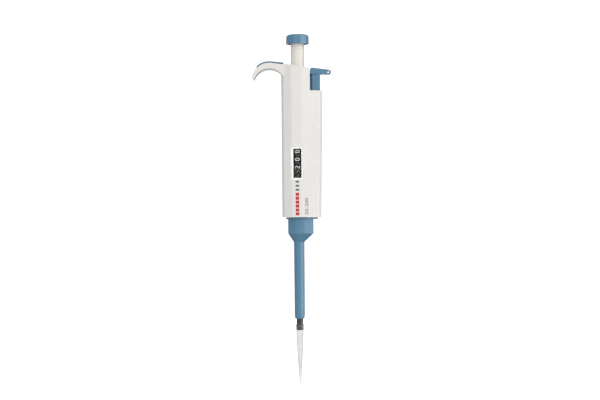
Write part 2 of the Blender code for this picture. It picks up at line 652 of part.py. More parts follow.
def make_lower_part():
    bore = PISTON_RADIUS + RUNNING
    shoulder = SLEEVE_TUBE_TOP_Z + LOOSE
    shaft_z = SLEEVE_END_Z + 4 * MM
    profile = [
        (CONE_AIR_RADIUS, CONE_END_Z),
        (CONE_NOSE_RADIUS, CONE_END_Z),
        (CONE_RADIUS, TIP_LENGTH),
        (CONE_RADIUS, shaft_z),
        (CONE_SHAFT_RADIUS, shaft_z + 1 * MM),
        (CONE_SHAFT_RADIUS, shoulder),
        (BARREL_RADIUS, shoulder + SLEEVE_SHOULDER),
        (BARREL_RADIUS, BARREL_TOP_Z),
        (CHAMBER_RADIUS, BARREL_TOP_Z),
        (CHAMBER_RADIUS, CHAMBER_FLOOR_Z),
        (bore, CHAMBER_FLOOR_Z),
        (bore, PISTON_BORE_FLOOR_Z),
        (CONE_AIR_RADIUS, PISTON_BORE_FLOOR_Z - 1 * MM),
    ]
    piece("tip_cone", turned(profile), DARK_PLASTIC)
    nut_bore = BARREL_RADIUS + GAP
    nut_z = CAVITY_FLOOR_Z + GAP
    nut_outer = nut_bore + NUT_WALL
    piece("cone_nut", ring(nut_bore, nut_outer, nut_z, nut_z + 5 * MM), TURNED_BRASS)

    running = PISTON_RADIUS + RUNNING
    outer = CHAMBER_RADIUS - GAP
    seal = [
        (running, SEAL_Z),
        (outer, SEAL_Z),
        (outer, SEAL_Z + SEAL_HEIGHT),
        (running + SEAL_LIP, SEAL_Z + SEAL_HEIGHT),
        (running, SEAL_Z + 0.5 * SEAL_HEIGHT),
    ]
    piece("piston_seal", turned(seal), NATURAL_PLASTIC)
    ring_middle = running + RUNNING + O_RING_WIRE
    turns = [2 * pi * (k + 0.5) / NUT_SIDES for k in range(NUT_SIDES)]
    o_ring = [(ring_middle + O_RING_WIRE * cos(turn), O_RING_WIRE * sin(turn)) for turn in turns]
    ring_z = RETAINER_Z + O_RING_WIRE
    piece("piston_o_ring", turned(o_ring), SEAL_RUBBER, (0, 0, ring_z))
    pocket = ring_middle + O_RING_WIRE + GAP
    roof = RETAINER_Z + 2 * O_RING_WIRE + GAP
    retainer = [
        (pocket, RETAINER_Z),
        (outer, RETAINER_Z),
        (outer, RETAINER_Z + RETAINER_HEIGHT),
        (running + GAP, RETAINER_Z + RETAINER_HEIGHT),
        (running + GAP, roof),
        (pocket, roof),
    ]
    piece("seal_retainer", turned(retainer), DARK_PLASTIC)

    coil = outer - GAP - BLOWOUT_WIRE
    spring("blowout_spring", coil, BLOWOUT_WIRE, BLOWOUT_SPRING_Z, SEAT_Z, 4)
    tube = running + GAP
    seat = [
        (tube, SEAT_Z),
        (outer, SEAT_Z),
        (outer, SEAT_FLANGE_TOP_Z),
        (tube + SEAT_TUBE_WALL, SEAT_FLANGE_TOP_Z),
        (tube + SEAT_TUBE_WALL, SEAT_TOP_Z),
        (tube, SEAT_TOP_Z),
    ]
    piece("blowout_seat", turned(seat), DARK_PLASTIC)
    coil = tube + SEAT_TUBE_WALL + 2 * GAP + PISTON_WIRE
    spring("piston_spring", coil, PISTON_WIRE, SEAT_FLANGE_TOP_Z, CAP_Z, 9)

    piston_top = CAP_Z + CAP_SKIRT - GAP
    piece("piston", rod(PISTON_RADIUS, PISTON_END_Z, piston_top), POLISHED_STEEL)
    cap_radius = coil + PISTON_WIRE + 2 * GAP
    cap = [
        (0, CAP_Z + CAP_SKIRT),
        (running, CAP_Z + CAP_SKIRT),
        (running, CAP_Z),
        (cap_radius, CAP_Z),
        (cap_radius, CAP_TOP_Z),
        (0, CAP_TOP_Z),
    ]
    piece("piston_cap", turned(cap), NATURAL_PLASTIC)


def tip_outer(height):
    """The tip's outer radius: two tapers, then the collar."""
    if height < TIP_TAPER_HEIGHT:
        return TIP_MOUTH_RADIUS + (TIP_BODY_RADIUS - TIP_MOUTH_RADIUS) * height / TIP_TAPER_HEIGHT
    collar_z = TIP_LENGTH - TIP_COLLAR_HEIGHT
    share = (height - TIP_TAPER_HEIGHT) / (collar_z - TIP_TAPER_HEIGHT)
    return TIP_BODY_RADIUS + (TIP_COLLAR_RADIUS - GAP / 3 - TIP_BODY_RADIUS) * min(1, share)


def make_tip():
    collar_z = TIP_LENGTH - TIP_COLLAR_HEIGHT
    socket_rim = CONE_RADIUS + RUNNING
    socket_floor = CONE_NOSE_RADIUS + RUNNING
    heights = [0, TIP_TAPER_HEIGHT / 2, TIP_TAPER_HEIGHT, collar_z]
    outside = [(tip_outer(height), height) for height in heights]
    outside += [(TIP_COLLAR_RADIUS, collar_z + GAP), (TIP_COLLAR_RADIUS, TIP_LENGTH)]
    inside = [(socket_rim, TIP_LENGTH), (socket_floor, CONE_END_Z)]
    waist = min(tip_outer(TIP_TAPER_HEIGHT) - TIP_WALL, socket_floor - TIP_WALL / 2)
    inside += [(waist, TIP_TAPER_HEIGHT), (TIP_MOUTH_RADIUS - TIP_WALL * 0.7, 0)]
    piece("pipette_tip", turned(outside + inside), CLEAR_PLASTIC)


# ---- ejector --------------------------------------------------------------------------------------

def make_ejector():
    mouth = SLEEVE_RADIUS - 0.3 * MM
    sections = [
        rounded_section(-mouth, mouth, mouth, 1, SLEEVE_END_Z),
        rounded_section(
            -SLEEVE_RADIUS, SLEEVE_RADIUS, SLEEVE_RADIUS, 1, SLEEVE_END_Z + 4 * MM
        ),
        rounded_section(
            -SLEEVE_TOP_RADIUS, SLEEVE_TOP_RADIUS, SLEEVE_TOP_RADIUS, 1, SLEEVE_TUBE_TOP_Z
        ),
    ]
    for height in (BLOCK_BOTTOM_Z, BLOCK_TOP_Z - GAP):
        block = (SLEEVE_BLOCK_LEFT, SLEEVE_BLOCK_RIGHT, SLEEVE_BLOCK_DEPTH, BLOCK_SQUARENESS, height)
        sections.append(rounded_section(*block))
    for height in (BLOCK_TOP_Z, FLANGE_TOP_Z):
        flange = (SLEEVE_FLANGE_LEFT, SLEEVE_FLANGE_RIGHT, SLEEVE_FLANGE_DEPTH, BLOCK_SQUARENESS, height)
        sections.append(rounded_section(*flange))
    sleeve = piece("ejector_sleeve", loft(sections), BLUE_PLASTIC)
    lip = CONE_RADIUS + GAP
    inner = SLEEVE_RADIUS - SLEEVE_WALL
    wide = BARREL_RADIUS + LOOSE
    lip_z = SLEEVE_END_Z + SLEEVE_LIP_HEIGHT
    bore = [
        (0, SLEEVE_END_Z - LOOSE),
        (lip, SLEEVE_END_Z - LOOSE),
        (lip, lip_z),
        (inner, lip_z + LOOSE),
        (inner, SLEEVE_TUBE_TOP_Z),
        (wide, BLOCK_BOTTOM_Z),
        (wide, FLANGE_TOP_Z + LOOSE),
        (0, FLANGE_TOP_Z + LOOSE),
    ]
    reshape(sleeve, "DIFFERENCE", "bore", turned(bore))

    at = (EJECTOR_ROD_X, EJECTOR_ROD_Y, 0)
    rod_top = STEM_END_Z + STEM_SOCKET - GAP
    stick = rod(EJECTOR_ROD_RADIUS, HANDLE_BOTTOM_Z, rod_top, 16)
    piece("ejector_rod", stick, POLISHED_STEEL, at)
    collar_top = EJECTOR_COLLAR_Z + EJECTOR_COLLAR_HEIGHT
    hold = EJECTOR_ROD_RADIUS + RUNNING
    collar = ring(hold, EJECTOR_COLLAR_RADIUS, EJECTOR_COLLAR_Z, collar_top, 16)
    piece("ejector_collar", collar, DARK_PLASTIC, at)
    coil = EJECTOR_ROD_RADIUS + 2 * GAP + EJECTOR_WIRE
    spring(
        "ejector_spring",
        coil,
        EJECTOR_WIRE,
        EJECTOR_SPRING_Z,
        EJECTOR_COLLAR_Z,
        8,
        EJECTOR_ROD_X,
        EJECTOR_ROD_Y,
    )

    left = STEM_LEFT - KEY_WIDTH
    tip = HEAD_ARM_HEIGHT / 2
    rounding = [
        (HEAD_REACH - tip + tip * cos(turn), HEAD_Z + tip + tip * sin(turn))
        for turn in [radians(degrees) for degrees in (-90, -45, 0, 45, 90)]
    ]
    stem_outline = [
        (STEM_LEFT, STEM_END_Z),
        (STEM_LOW_RIGHT, STEM_END_Z),
        (STEM_LOW_RIGHT, LEDGE_Z - HANDLE_WALL),
        (STEM_RIGHT, LEDGE_Z - GAP),
        (STEM_RIGHT, HEAD_Z + 1 * MM),
        (STEM_LEFT, HEAD_Z + 1 * MM),
    ]
    head_outline = rounding + [
        (left + HEAD_CORNER, HEAD_Z + HEAD_HEIGHT),
        (left + HEAD_CORNER_MIDDLE, HEAD_Z + HEAD_HEIGHT - HEAD_CORNER_MIDDLE),
        (left, HEAD_Z + HEAD_HEIGHT - HEAD_CORNER),
        (left, HEAD_Z),
    ]
    stem = prism(stem_outline, -STEM_HALF_DEPTH, STEM_HALF_DEPTH, "Y")
    button = piece("ejector_button", stem, BLUE_PLASTIC)
    top = prism(head_outline, -HEAD_HALF_DEPTH, HEAD_HALF_DEPTH, "Y")
    reshape(button, "UNION", "head", top)
    reshape(
        button,
        "UNION",
        "key",
        box(left, STEM_LEFT + 1 * MM, -KEY_HALF_DEPTH, KEY_HALF_DEPTH, LEDGE_Z, HEAD_Z + 1 * MM),
    )
    socket = rod(hold, STEM_END_Z - LOOSE, STEM_END_Z + STEM_SOCKET, 16)
    reshape(button, "DIFFERENCE", "socket", socket, at)
    eye = prism(polygon(12, HEAD_HOLE_RADIUS), -1.5 * HEAD_HALF_DEPTH, 1.5 * HEAD_HALF_DEPTH, "Y")
    reshape(button, "DIFFERENCE", "eye", eye, (HEAD_HOLE_X, 0, HEAD_Z + tip))


# ---- counter --------------------------------------------------------------------------------------

def digit_wheel(name, low, bore, geared):
    rim = WHEEL_WIDTH - GEAR_HEIGHT - GAP if geared else WHEEL_WIDTH
    item = piece(name, ring(bore, WHEEL_RADIUS, low, low + rim, 30), BLACK_PLASTIC)
    if geared:
        half_pitch = pi / GEAR_TEETH
        thickness = pi * GEAR_PITCH_RADIUS / GEAR_TEETH
        turn = PINION_DIRECTION + half_pitch
        outline = gear_outline(GEAR_TEETH, GEAR_PITCH_RADIUS, turn, thickness)
        gear = prism(outline, low + rim - LOOSE, low + WHEEL_WIDTH)
        reshape(item, "UNION", "gear", gear)
        hole = rod(bore, low - LOOSE, low + WHEEL_WIDTH + LOOSE, 30)
        reshape(item, "DIFFERENCE", "bore", hole)
    return item


def make_counter():
    bore = SCREW_RADIUS + GAP
    digit_wheel("hundreds_wheel", HUNDREDS_Z, bore, True)
    digit_wheel("tens_wheel", TENS_Z, bore, True)
    digit_wheel("units_wheel", UNITS_Z, bore, False)
    piece(
        "counter_base_ring",
        ring(bore, WHEEL_RADIUS, BASE_RING_Z, BASE_RING_Z + WHEEL_WIDTH - GAP, 30),
        BLACK_PLASTIC,
    )

    shaft_bore = PINION_SHAFT_RADIUS + RUNNING
    thickness = pi * PINION_PITCH_RADIUS / PINION_TEETH
    outline = gear_outline(
        PINION_TEETH, PINION_PITCH_RADIUS, PINION_DIRECTION + pi, 0.9 * thickness
    )
    for name, wheel_z in (("lower_carry_pinion", HUNDREDS_Z), ("upper_carry_pinion", TENS_Z)):
        low = wheel_z + WHEEL_WIDTH - GEAR_HEIGHT + (GEAR_HEIGHT - PINION_HEIGHT) / 2
        at = (PINION_X, PINION_Y, low)
        pinion = piece(name, prism(outline, 0, PINION_HEIGHT), NATURAL_PLASTIC, at)
        hole = rod(shaft_bore, -LOOSE, PINION_HEIGHT + LOOSE, 12)
        reshape(pinion, "DIFFERENCE", "bore", hole, at)

    shaft = rod(PINION_SHAFT_RADIUS, LOW_PLATE_Z, HIGH_PLATE_Z + PLATE_HEIGHT, 12)
    piece("pinion_shaft", shaft, POLISHED_STEEL, (PINION_X, PINION_Y, 0))


def make_frame():
    """Two plates on two posts; the upper one also seats the ejector's spring."""
    inset = HANDLE_WALL + LOOSE
    left = HANDLE_LEFT + HANDLE_WALL + GAP
    right = PINION_X + FRAME_CLEARANCE
    wide = EJECTOR_ROD_X + EJECTOR_ROD_RADIUS + GUIDE_WALL
    high = HIGH_PLATE_Z + PLATE_HEIGHT
    frame = piece(
        "counter_frame",
        prism(handle_section(inset, left, right), LOW_PLATE_Z, LOW_PLATE_Z + PLATE_HEIGHT),
        NATURAL_PLASTIC,
    )
    plate = prism(handle_section(inset, left, wide), HIGH_PLATE_Z, high)
    reshape(frame, "UNION", "high_plate", plate)
    clear = WHEEL_RADIUS + 2 * GAP
    posts = {
        "left_post": (left, -clear, -POST_SIZE, POST_SIZE),
        "right_post": (clear, clear + POST_SIZE, EJECTOR_ROD_Y - 4 * MM, EJECTOR_ROD_Y),
    }
    for name, (x0, x1, y0, y1) in posts.items():
        post = box(x0, x1, y0, y1, LOW_PLATE_Z + GAP, high - GAP)
        reshape(frame, "UNION", name, post)
    low = LOW_PLATE_Z - LOOSE
    reshape(frame, "DIFFERENCE", "screw_hole", rod(SCREW_THREAD_RADIUS + GAP, low, high + LOOSE))
    shaft_hole = rod(PINION_SHAFT_RADIUS + RUNNING, low, high + LOOSE, 12)
    reshape(frame, "DIFFERENCE", "shaft_hole", shaft_hole, (PINION_X, PINION_Y, 0))
    rod_hole = rod(EJECTOR_ROD_RADIUS + GAP, low, high + LOOSE, 16)
    reshape(frame, "DIFFERENCE", "rod_hole", rod_hole, (EJECTOR_ROD_X, EJECTOR_ROD_Y, 0))


# ---- volume drive and plunger ---------------------------------------------------------------------

def make_drive():
    bore = ROD_RADIUS + GAP
    screw = [
        (bore, SCREW_END_Z),
        (SCREW_RADIUS, SCREW_END_Z),
        (SCREW_RADIUS, NUT_Z - LOOSE),
        (SCREW_THREAD_RADIUS, NUT_Z),
        (SCREW_THREAD_RADIUS, HEX_Z - 6 * MM),
        (SCREW_RADIUS, HEX_Z - 5 * MM),
        (SCREW_RADIUS, HEX_Z + LOOSE),
        (bore, HEX_Z + LOOSE),
    ]
    item = piece("volume_screw", turned(screw), TURNED_BRASS)
    reshape(item, "UNION", "hexagon", prism(polygon(6, HEX_HALF_WIDTH), HEX_Z, HEX_TOP_Z))
    passage = rod(bore, SCREW_END_Z - LOOSE, HEX_TOP_Z + LOOSE)
    reshape(item, "DIFFERENCE", "passage", passage)
    nut_bore = SCREW_THREAD_RADIUS + GAP
    nut = prism(polygon(6, NUT_RADIUS), NUT_Z, NUT_Z + NUT_HEIGHT)
    nut_item = piece("setting_nut", nut, NATURAL_PLASTIC)
    hole = rod(nut_bore, NUT_Z - LOOSE, NUT_Z + NUT_HEIGHT + LOOSE)
    reshape(nut_item, "DIFFERENCE", "bore", hole)
    piece("brake_ring", ring(nut_bore, nut_bore + BRAKE_WALL, BRAKE_Z, BRAKE_Z + BRAKE_HEIGHT), SEAL_RUBBER)


def make_plunger():
    sleeve_top = BUTTON_Z + BUTTON_SOCKET - GAP
    sleeve = rod(BUTTON_SLEEVE_RADIUS, BUTTON_SLEEVE_Z, sleeve_top, 30)
    item = piece("button_sleeve", sleeve, IVORY_PLASTIC)
    hexagon = polygon(6, HEX_HALF_WIDTH + RUNNING)
    bore = prism(hexagon, BUTTON_SLEEVE_Z - LOOSE, sleeve_top + LOOSE)
    reshape(item, "DIFFERENCE", "hexagon", bore)

    rod_top = BUTTON_Z + BUTTON_SOCKET + 3 * MM
    piece("plunger_rod", rod(ROD_RADIUS, ROD_END_Z, rod_top, 16), POLISHED_STEEL)
    hold = ROD_RADIUS + RUNNING
    collar = ring(hold, COLLAR_RADIUS, COLLAR_Z, COLLAR_Z + COLLAR_HEIGHT)
    piece("stop_collar", collar, TURNED_BRASS)

    top = BUTTON_Z + BUTTON_HEIGHT
    socket = BUTTON_SLEEVE_RADIUS + GAP
    socket_z = BUTTON_Z + BUTTON_SOCKET
    button = [
        (0, top),
        (0.5 * BUTTON_RADIUS, top),
        (BUTTON_RADIUS - BUTTON_CROWN_WIDTH, top - BUTTON_CROWN_RISE),
        (BUTTON_RADIUS, top - BUTTON_CROWN),
        (BUTTON_RADIUS, BUTTON_Z),
        (socket, BUTTON_Z),
        (socket, socket_z),
        (hold, socket_z),
        (hold, rod_top + GAP),
        (0, rod_top + GAP),
    ]
    piece("push_button", turned(button, 2 * BUTTON_SIDES), BLUE_PLASTIC)

    bush_bore = BUTTON_SLEEVE_RADIUS + GAP
    bush_top = handle_top(bush_bore + BUSH_WALL) - HANDLE_WALL - GAP
    bush = ring(bush_bore, bush_bore + BUSH_WALL, bush_top - BUSH_HEIGHT, bush_top, 30)
    piece("top_bush", bush, DARK_PLASTIC)


clear_scene()
AXIS = stand()
make_handle()
make_hook()
make_lower_part()
make_tip()
make_ejector()
make_counter()
make_frame()
make_drive()
make_plunger()
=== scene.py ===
# %% [markdown]
# # Dressing a 20 to 200 microlitre pipette
# The CAD model already fixes every size and every moving body of this single-channel pipette.
# In this lesson its showing pieces are modelled again with rounded edges, thin walls and
# printed figures, and every piece gets a finish made of shader nodes. Each new piece rides on
# the CAD body that it belongs to, so the finished pipette still turns, presses and ejects.

from math import cos, pi, radians, sin

import bmesh
import bpy
from mathutils import Matrix, Vector


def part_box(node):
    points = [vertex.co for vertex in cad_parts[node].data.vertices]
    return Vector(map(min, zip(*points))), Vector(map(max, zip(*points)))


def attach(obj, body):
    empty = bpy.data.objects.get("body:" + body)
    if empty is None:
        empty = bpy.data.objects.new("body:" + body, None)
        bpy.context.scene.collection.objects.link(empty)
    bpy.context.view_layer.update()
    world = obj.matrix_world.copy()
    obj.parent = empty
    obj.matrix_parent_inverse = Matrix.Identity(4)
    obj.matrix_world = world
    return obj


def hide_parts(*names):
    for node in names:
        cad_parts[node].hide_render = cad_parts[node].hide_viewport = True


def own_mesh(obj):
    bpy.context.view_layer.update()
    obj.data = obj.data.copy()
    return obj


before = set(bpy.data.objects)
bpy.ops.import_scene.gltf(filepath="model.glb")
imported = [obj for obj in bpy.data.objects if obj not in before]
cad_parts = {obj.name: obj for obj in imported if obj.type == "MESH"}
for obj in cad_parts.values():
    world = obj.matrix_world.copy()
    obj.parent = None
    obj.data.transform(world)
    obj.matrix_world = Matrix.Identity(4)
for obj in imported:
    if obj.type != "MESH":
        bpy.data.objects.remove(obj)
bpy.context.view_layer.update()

# %% [markdown]
# ## Millimetres from the plunger's axis
# The pipette is small, so the modelling is done in millimetres. Across, x = 0 is the
# plunger's axis, and upwards z = 0 is the mouth of the tip. `spot` gives a CAD piece's two
# corners in those units, and every piece below takes its place from such corners. One matrix
# carries a finished mesh back to the frame in metres, so the objects themselves stay at the
# origin and patterns on Object coordinates keep one scale on all of them.

# %% Units and places
MM = 0.001
tip_low, tip_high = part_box("pipette_tip")
AXIS_AT = Vector(((tip_low.x + tip_high.x) / 2, 0, tip_low.z))
TO_FRAME = Matrix.Translation(AXIS_AT) @ Matrix.Scale(MM, 4)


def spot(node):
    """The lowest and highest corner of a CAD piece, in mm from the axis and the mouth."""
    low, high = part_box(node)
    return (low - AXIS_AT) / MM, (high - AXIS_AT) / MM


shell_low, shell_high = spot("handle_front")
print("handle from", round(shell_low.z, 1), "to", round(shell_high.z, 1), "mm above the mouth")

# %% [markdown]
# ## Helpers that start a shape
# Three ways of starting cover nearly all of this object. A turned piece is a profile spun once
# round the axis; `use_merge` closes the spin on itself. A moulded piece is an outline
# extruded straight. A tool for cutting is either of the two. Turned shapes can come out
# inside out, so their normals are recalculated after doubles are merged. Every shape starts
# on the axis; `moved` and `swung` take it to its place.

# %% Turn, extrude, box and move
def turned(profile, steps=72):
    """Spin (radius, height) points round the axis; an open profile ends on the axis."""
    bm = bmesh.new()
    points = [bm.verts.new((radius, 0, height)) for radius, height in profile]
    pairs = list(zip(points, points[1:]))
    if profile[0][0] > 0:
        pairs.append((points[-1], points[0]))
    edges = [bm.edges.new(pair) for pair in pairs]
    bmesh.ops.spin(bm, geom=points + edges, axis=(0, 0, 1), cent=(0, 0, 0),
                   angle=2 * pi, steps=steps, use_merge=True)
    bmesh.ops.remove_doubles(bm, verts=bm.verts, dist=0.001)
    bmesh.ops.recalc_face_normals(bm, faces=bm.faces)
    return bm


def raised(bm, points, way):
    """Fill a closed outline and extrude it one way into a solid."""
    face = bm.faces.new([bm.verts.new(point) for point in points])
    grown = bmesh.ops.extrude_face_region(bm, geom=[face])
    top = [part for part in grown["geom"] if isinstance(part, bmesh.types.BMVert)]
    bmesh.ops.translate(bm, verts=top, vec=way)
    bmesh.ops.recalc_face_normals(bm, faces=bm.faces)
    return bm


def upright(outline, low, high):
    """An (x, y) outline extruded from one height to another."""
    return raised(bmesh.new(), [(x, y, low) for x, y in outline], (0, 0, high - low))


def sideways(outline, front, back):
    """An (x, z) outline extruded from front to back."""
    return raised(bmesh.new(), [(x, front, z) for x, z in outline], (0, back - front, 0))


def block(low, high):
    """A plain box between two corners."""
    corners = [(low[0], low[1]), (high[0], low[1]), (high[0], high[1]), (low[0], high[1])]
    return upright(corners, low[2], high[2])


def plug(radius, low, high, steps=72):
    """A plain round rod on the axis, mostly a tool for bores."""
    return turned([(0, low), (radius, low), (radius, high), (0, high)], steps)


def moved(bm, x, y, z=0):
    bmesh.ops.translate(bm, verts=bm.verts, vec=(x, y, z))
    return bm


def swung(bm, degrees, axis="Z"):
    """Turn a shape about one of the axes through the origin."""
    turn = Matrix.Rotation(radians(degrees), 3, axis)
    bmesh.ops.rotate(bm, verts=bm.verts, cent=(0, 0, 0), matrix=turn)
    return bm


# %% [markdown]
# ## Rounding edges
# Nothing moulded has a knife edge: an edge that catches light is what makes a model look
# real. `rounded` bevels the edges that a small test picks out, with the same profile all
# over, and `sharp_edges` gives the test that is used most, the angle between two faces.

# %% Round chosen edges
def rounded(bm, picks, width, segments=4, clamp=True):
    """Bevel the edges for which picks(edge) is true; clamp stops it before edges cross."""
    chosen = [edge for edge in bm.edges if len(edge.link_faces) == 2 and picks(edge)]
    bmesh.ops.bevel(bm, geom=chosen, offset=width, offset_type="OFFSET", segments=segments,
                    profile=0.5, affect="EDGES", material=-1, clamp_overlap=clamp)
    return len(chosen)


def is_upright(edge):
    a, b = (corner.co for corner in edge.verts)
    return abs(a.z - b.z) > 0.9 * (a - b).length


def sharp_edges(least=50):
    return lambda edge: edge.calc_face_angle(0) > radians(least)


# %% [markdown]
# ## Cutting, and putting a piece in the frame
# Windows, bores and slots are cut with the Boolean modifier, because no bevel or extrusion
# gives them as cleanly. The result is read back at once and the tool is thrown away, so no
# hidden object is left. `keep` then makes the object: it moves the mesh to the frame,
# shades it smooth except at sharp edges, weights its normals so that flat faces stay flat
# beside their rounded edges, and lets it ride on its CAD body.

# %% Cut and keep
def as_object(bm, name):
    mesh = bpy.data.meshes.new(name)
    bm.to_mesh(mesh)
    bm.free()
    item = bpy.data.objects.new(name, mesh)
    bpy.context.scene.collection.objects.link(item)
    return item


def cut(bm, tool, way="DIFFERENCE"):
    """Boolean one bmesh with another and return the result as a new bmesh."""
    body, knife = as_object(bm, "cut_body"), as_object(tool, "cut_tool")
    step = body.modifiers.new("cut", "BOOLEAN")
    step.operation = way
    step.solver = "EXACT"
    step.object = knife
    depsgraph = bpy.context.evaluated_depsgraph_get()
    mesh = bpy.data.meshes.new_from_object(body.evaluated_get(depsgraph))
    made = bmesh.new()
    made.from_mesh(mesh)
    for item in (body, knife):
        bpy.data.objects.remove(item, do_unlink=True)
    bpy.data.meshes.remove(mesh)
    bmesh.ops.remove_doubles(made, verts=made.verts, dist=0.0005)
    return made


def keep(name, bm, material, body, stands_for=(), crisp=35):
    """Turn a bmesh into a finished piece that rides on a CAD body, and print its face count."""
    bmesh.ops.transform(bm, matrix=TO_FRAME, verts=bm.verts)
    item = as_object(bm, name)
    item.data.materials.append(material)
    item.data.shade_smooth()
    item.data.set_sharp_from_angle(angle=radians(crisp))
    weights = item.modifiers.new("even_normals", "WEIGHTED_NORMAL")
    weights.keep_sharp = True
    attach(item, body)
    if stands_for:
        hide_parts(*stands_for)
    print(name, len(item.data.polygons), "faces")
    return item


# %% [markdown]
# ## Moulded plastics
# Moulded plastic is never one flat colour. It has a slow drift between two near shades, a
# gloss that changes from place to place, and the fine spark-eroded grain of the mould. Three
# Noise textures at different scales give those three things to one Principled shader, and
# the grain reaches it through a Bump node. One helper makes every plastic here, because they
# differ only in shade, gloss and grain.


def new_finish(name):
    """A new material with its node tree and shader. The CAD's materials can hold the same name."""
    material = bpy.data.materials.new(name)
    material.use_nodes = True
    tree = material.node_tree
    return material, tree, tree.nodes["Principled BSDF"]


def noise(tree, scale, detail=3.0, stretch=(1, 1, 1)):
    """A Noise texture on Object coordinates, stretched along an axis if asked."""
    coordinates = tree.nodes.new("ShaderNodeTexCoord")
    mapping = tree.nodes.new("ShaderNodeMapping")
    mapping.inputs["Scale"].default_value = stretch
    texture = tree.nodes.new("ShaderNodeTexNoise")
    texture.inputs["Scale"].default_value = scale
    texture.inputs["Detail"].default_value = detail
    tree.links.new(coordinates.outputs["Object"], mapping.inputs["Vector"])
    tree.links.new(mapping.outputs["Vector"], texture.inputs["Vector"])
    return texture.outputs["Fac"]


def between(tree, value, low, high):
    """Spread a 0 to 1 value, which noise keeps near its middle, over a range."""
    spread = tree.nodes.new("ShaderNodeMapRange")
    spread.inputs["From Min"].default_value = 0.3
    spread.inputs["From Max"].default_value = 0.7
    spread.inputs["To Min"].default_value = low
    spread.inputs["To Max"].default_value = high
    tree.links.new(value, spread.inputs["Value"])
    return spread.outputs["Result"]


def shades(tree, value, first, second):
    """A colour that goes from one shade to another as a value rises."""
    mix = tree.nodes.new("ShaderNodeMix")
    mix.data_type = "RGBA"
    mix.inputs["A"].default_value = (*first, 1)
    mix.inputs["B"].default_value = (*second, 1)
    tree.links.new(value, mix.inputs["Factor"])
    return mix.outputs["Result"]


def grain(tree, shader, height, depth, strength):
    bump = tree.nodes.new("ShaderNodeBump")
    bump.inputs["Distance"].default_value = depth
    bump.inputs["Strength"].default_value = strength
    tree.links.new(height, bump.inputs["Height"])
    tree.links.new(bump.outputs["Normal"], shader.inputs["Normal"])


def plastic(name, first, second, gloss, grain_size=0.35, grain_depth=0.004):
    """A moulded plastic of two near shades; gloss is its lowest and highest roughness."""
    material, tree, shader = new_finish(name)
    tint = between(tree, noise(tree, 55), 0, 1)
    tree.links.new(shades(tree, tint, first, second), shader.inputs["Base Color"])
    worn = between(tree, noise(tree, 260, 5), *gloss)
    tree.links.new(worn, shader.inputs["Roughness"])
    fine = noise(tree, 1 / (grain_size * MM), 2)
    grain(tree, shader, fine, grain_depth * MM, 0.25)
    shader.inputs["IOR"].default_value = 1.49
    return material


# %% [markdown]
# ## The pipette's plastics
# The handle is a warm white, semi-matt. The knob's sleeve is ivory and glossier, because
# fingers polish it. Button, ejector and sleeve are one slate blue. The cone is a dark
# chemical-resistant plastic with a soft shine, the counter's wheels are near black, and the
# inner frame is left in the plastic's natural colour.

# %% Opaque plastics
white_plastic = plastic("white_plastic", (0.80, 0.79, 0.765), (0.76, 0.75, 0.725), (0.34, 0.42))
ivory_plastic = plastic("ivory_plastic", (0.82, 0.79, 0.73), (0.80, 0.765, 0.70), (0.2, 0.26),
                        0.5, 0.0008)
blue_plastic = plastic("blue_plastic", (0.090, 0.226, 0.352), (0.085, 0.215, 0.338), (0.24, 0.32),
                       grain_depth=0.0015)
dark_plastic = plastic("dark_plastic", (0.03, 0.03, 0.036), (0.04, 0.04, 0.046), (0.26, 0.36),
                       0.3, 0.003)
black_plastic = plastic("black_plastic", (0.006, 0.006, 0.007), (0.011, 0.011, 0.012), (0.34, 0.46))
black_plastic.node_tree.nodes["Principled BSDF"].inputs["Specular IOR Level"].default_value = 0.3
natural_plastic = plastic("natural_plastic", (0.64, 0.63, 0.58), (0.58, 0.57, 0.52), (0.4, 0.5))

# %% [markdown]
# ## Rubber and printing ink
# The seals are matt rubber with a coarser, bloomed surface. The figures on the wheels and
# the marks on the handle are pad-printed ink: thin, even and a little rough, so the same
# maker serves with a finer grain.

# %% Rubber and inks
seal_rubber = plastic("seal_rubber", (0.02, 0.02, 0.02), (0.035, 0.035, 0.034), (0.6, 0.75), 0.5, 0.01)
figure_ink = plastic("figure_ink", (0.66, 0.67, 0.68), (0.60, 0.61, 0.62), (0.45, 0.55), 0.2, 0.002)
grey_ink = plastic("grey_ink", (0.11, 0.13, 0.145), (0.13, 0.15, 0.165), (0.45, 0.55), 0.2, 0.002)
red_ink = plastic("red_ink", (0.62, 0.015, 0.012), (0.55, 0.012, 0.012), (0.4, 0.5), 0.2, 0.002)
pale_ink = plastic("pale_ink", (0.17, 0.165, 0.145), (0.19, 0.185, 0.165), (0.45, 0.55), 0.2, 0.002)

# %% [markdown]
# ## Metals
# Turned brass and ground steel carry fine marks that run round the piece, which are height
# bands along z, so the noise is squeezed hard along z. Drawn wire has its marks the other
# way and no clear direction, so a plain fine noise is enough there.

# %% Brass and steel
def metal(name, first, second, gloss, squeeze, mark_depth):
    material, tree, shader = new_finish(name)
    marks = noise(tree, 120, 4, squeeze)
    tint = between(tree, marks, 0, 1)
    tree.links.new(shades(tree, tint, first, second), shader.inputs["Base Color"])
    tree.links.new(between(tree, noise(tree, 400, 3), *gloss), shader.inputs["Roughness"])
    grain(tree, shader, marks, mark_depth * MM, 0.5)
    shader.inputs["Metallic"].default_value = 1.0
    return material


turned_brass = metal("turned_brass", (0.70, 0.53, 0.25), (0.58, 0.43, 0.19), (0.2, 0.32),
                     (1, 1, 60), 0.006)
polished_steel = metal("polished_steel", (0.66, 0.66, 0.67), (0.58, 0.58, 0.60), (0.12, 0.22),
                       (1, 1, 40), 0.002)
spring_steel = metal("spring_steel", (0.50, 0.50, 0.52), (0.40, 0.40, 0.42), (0.22, 0.34),
                     (1, 1, 1), 0.004)

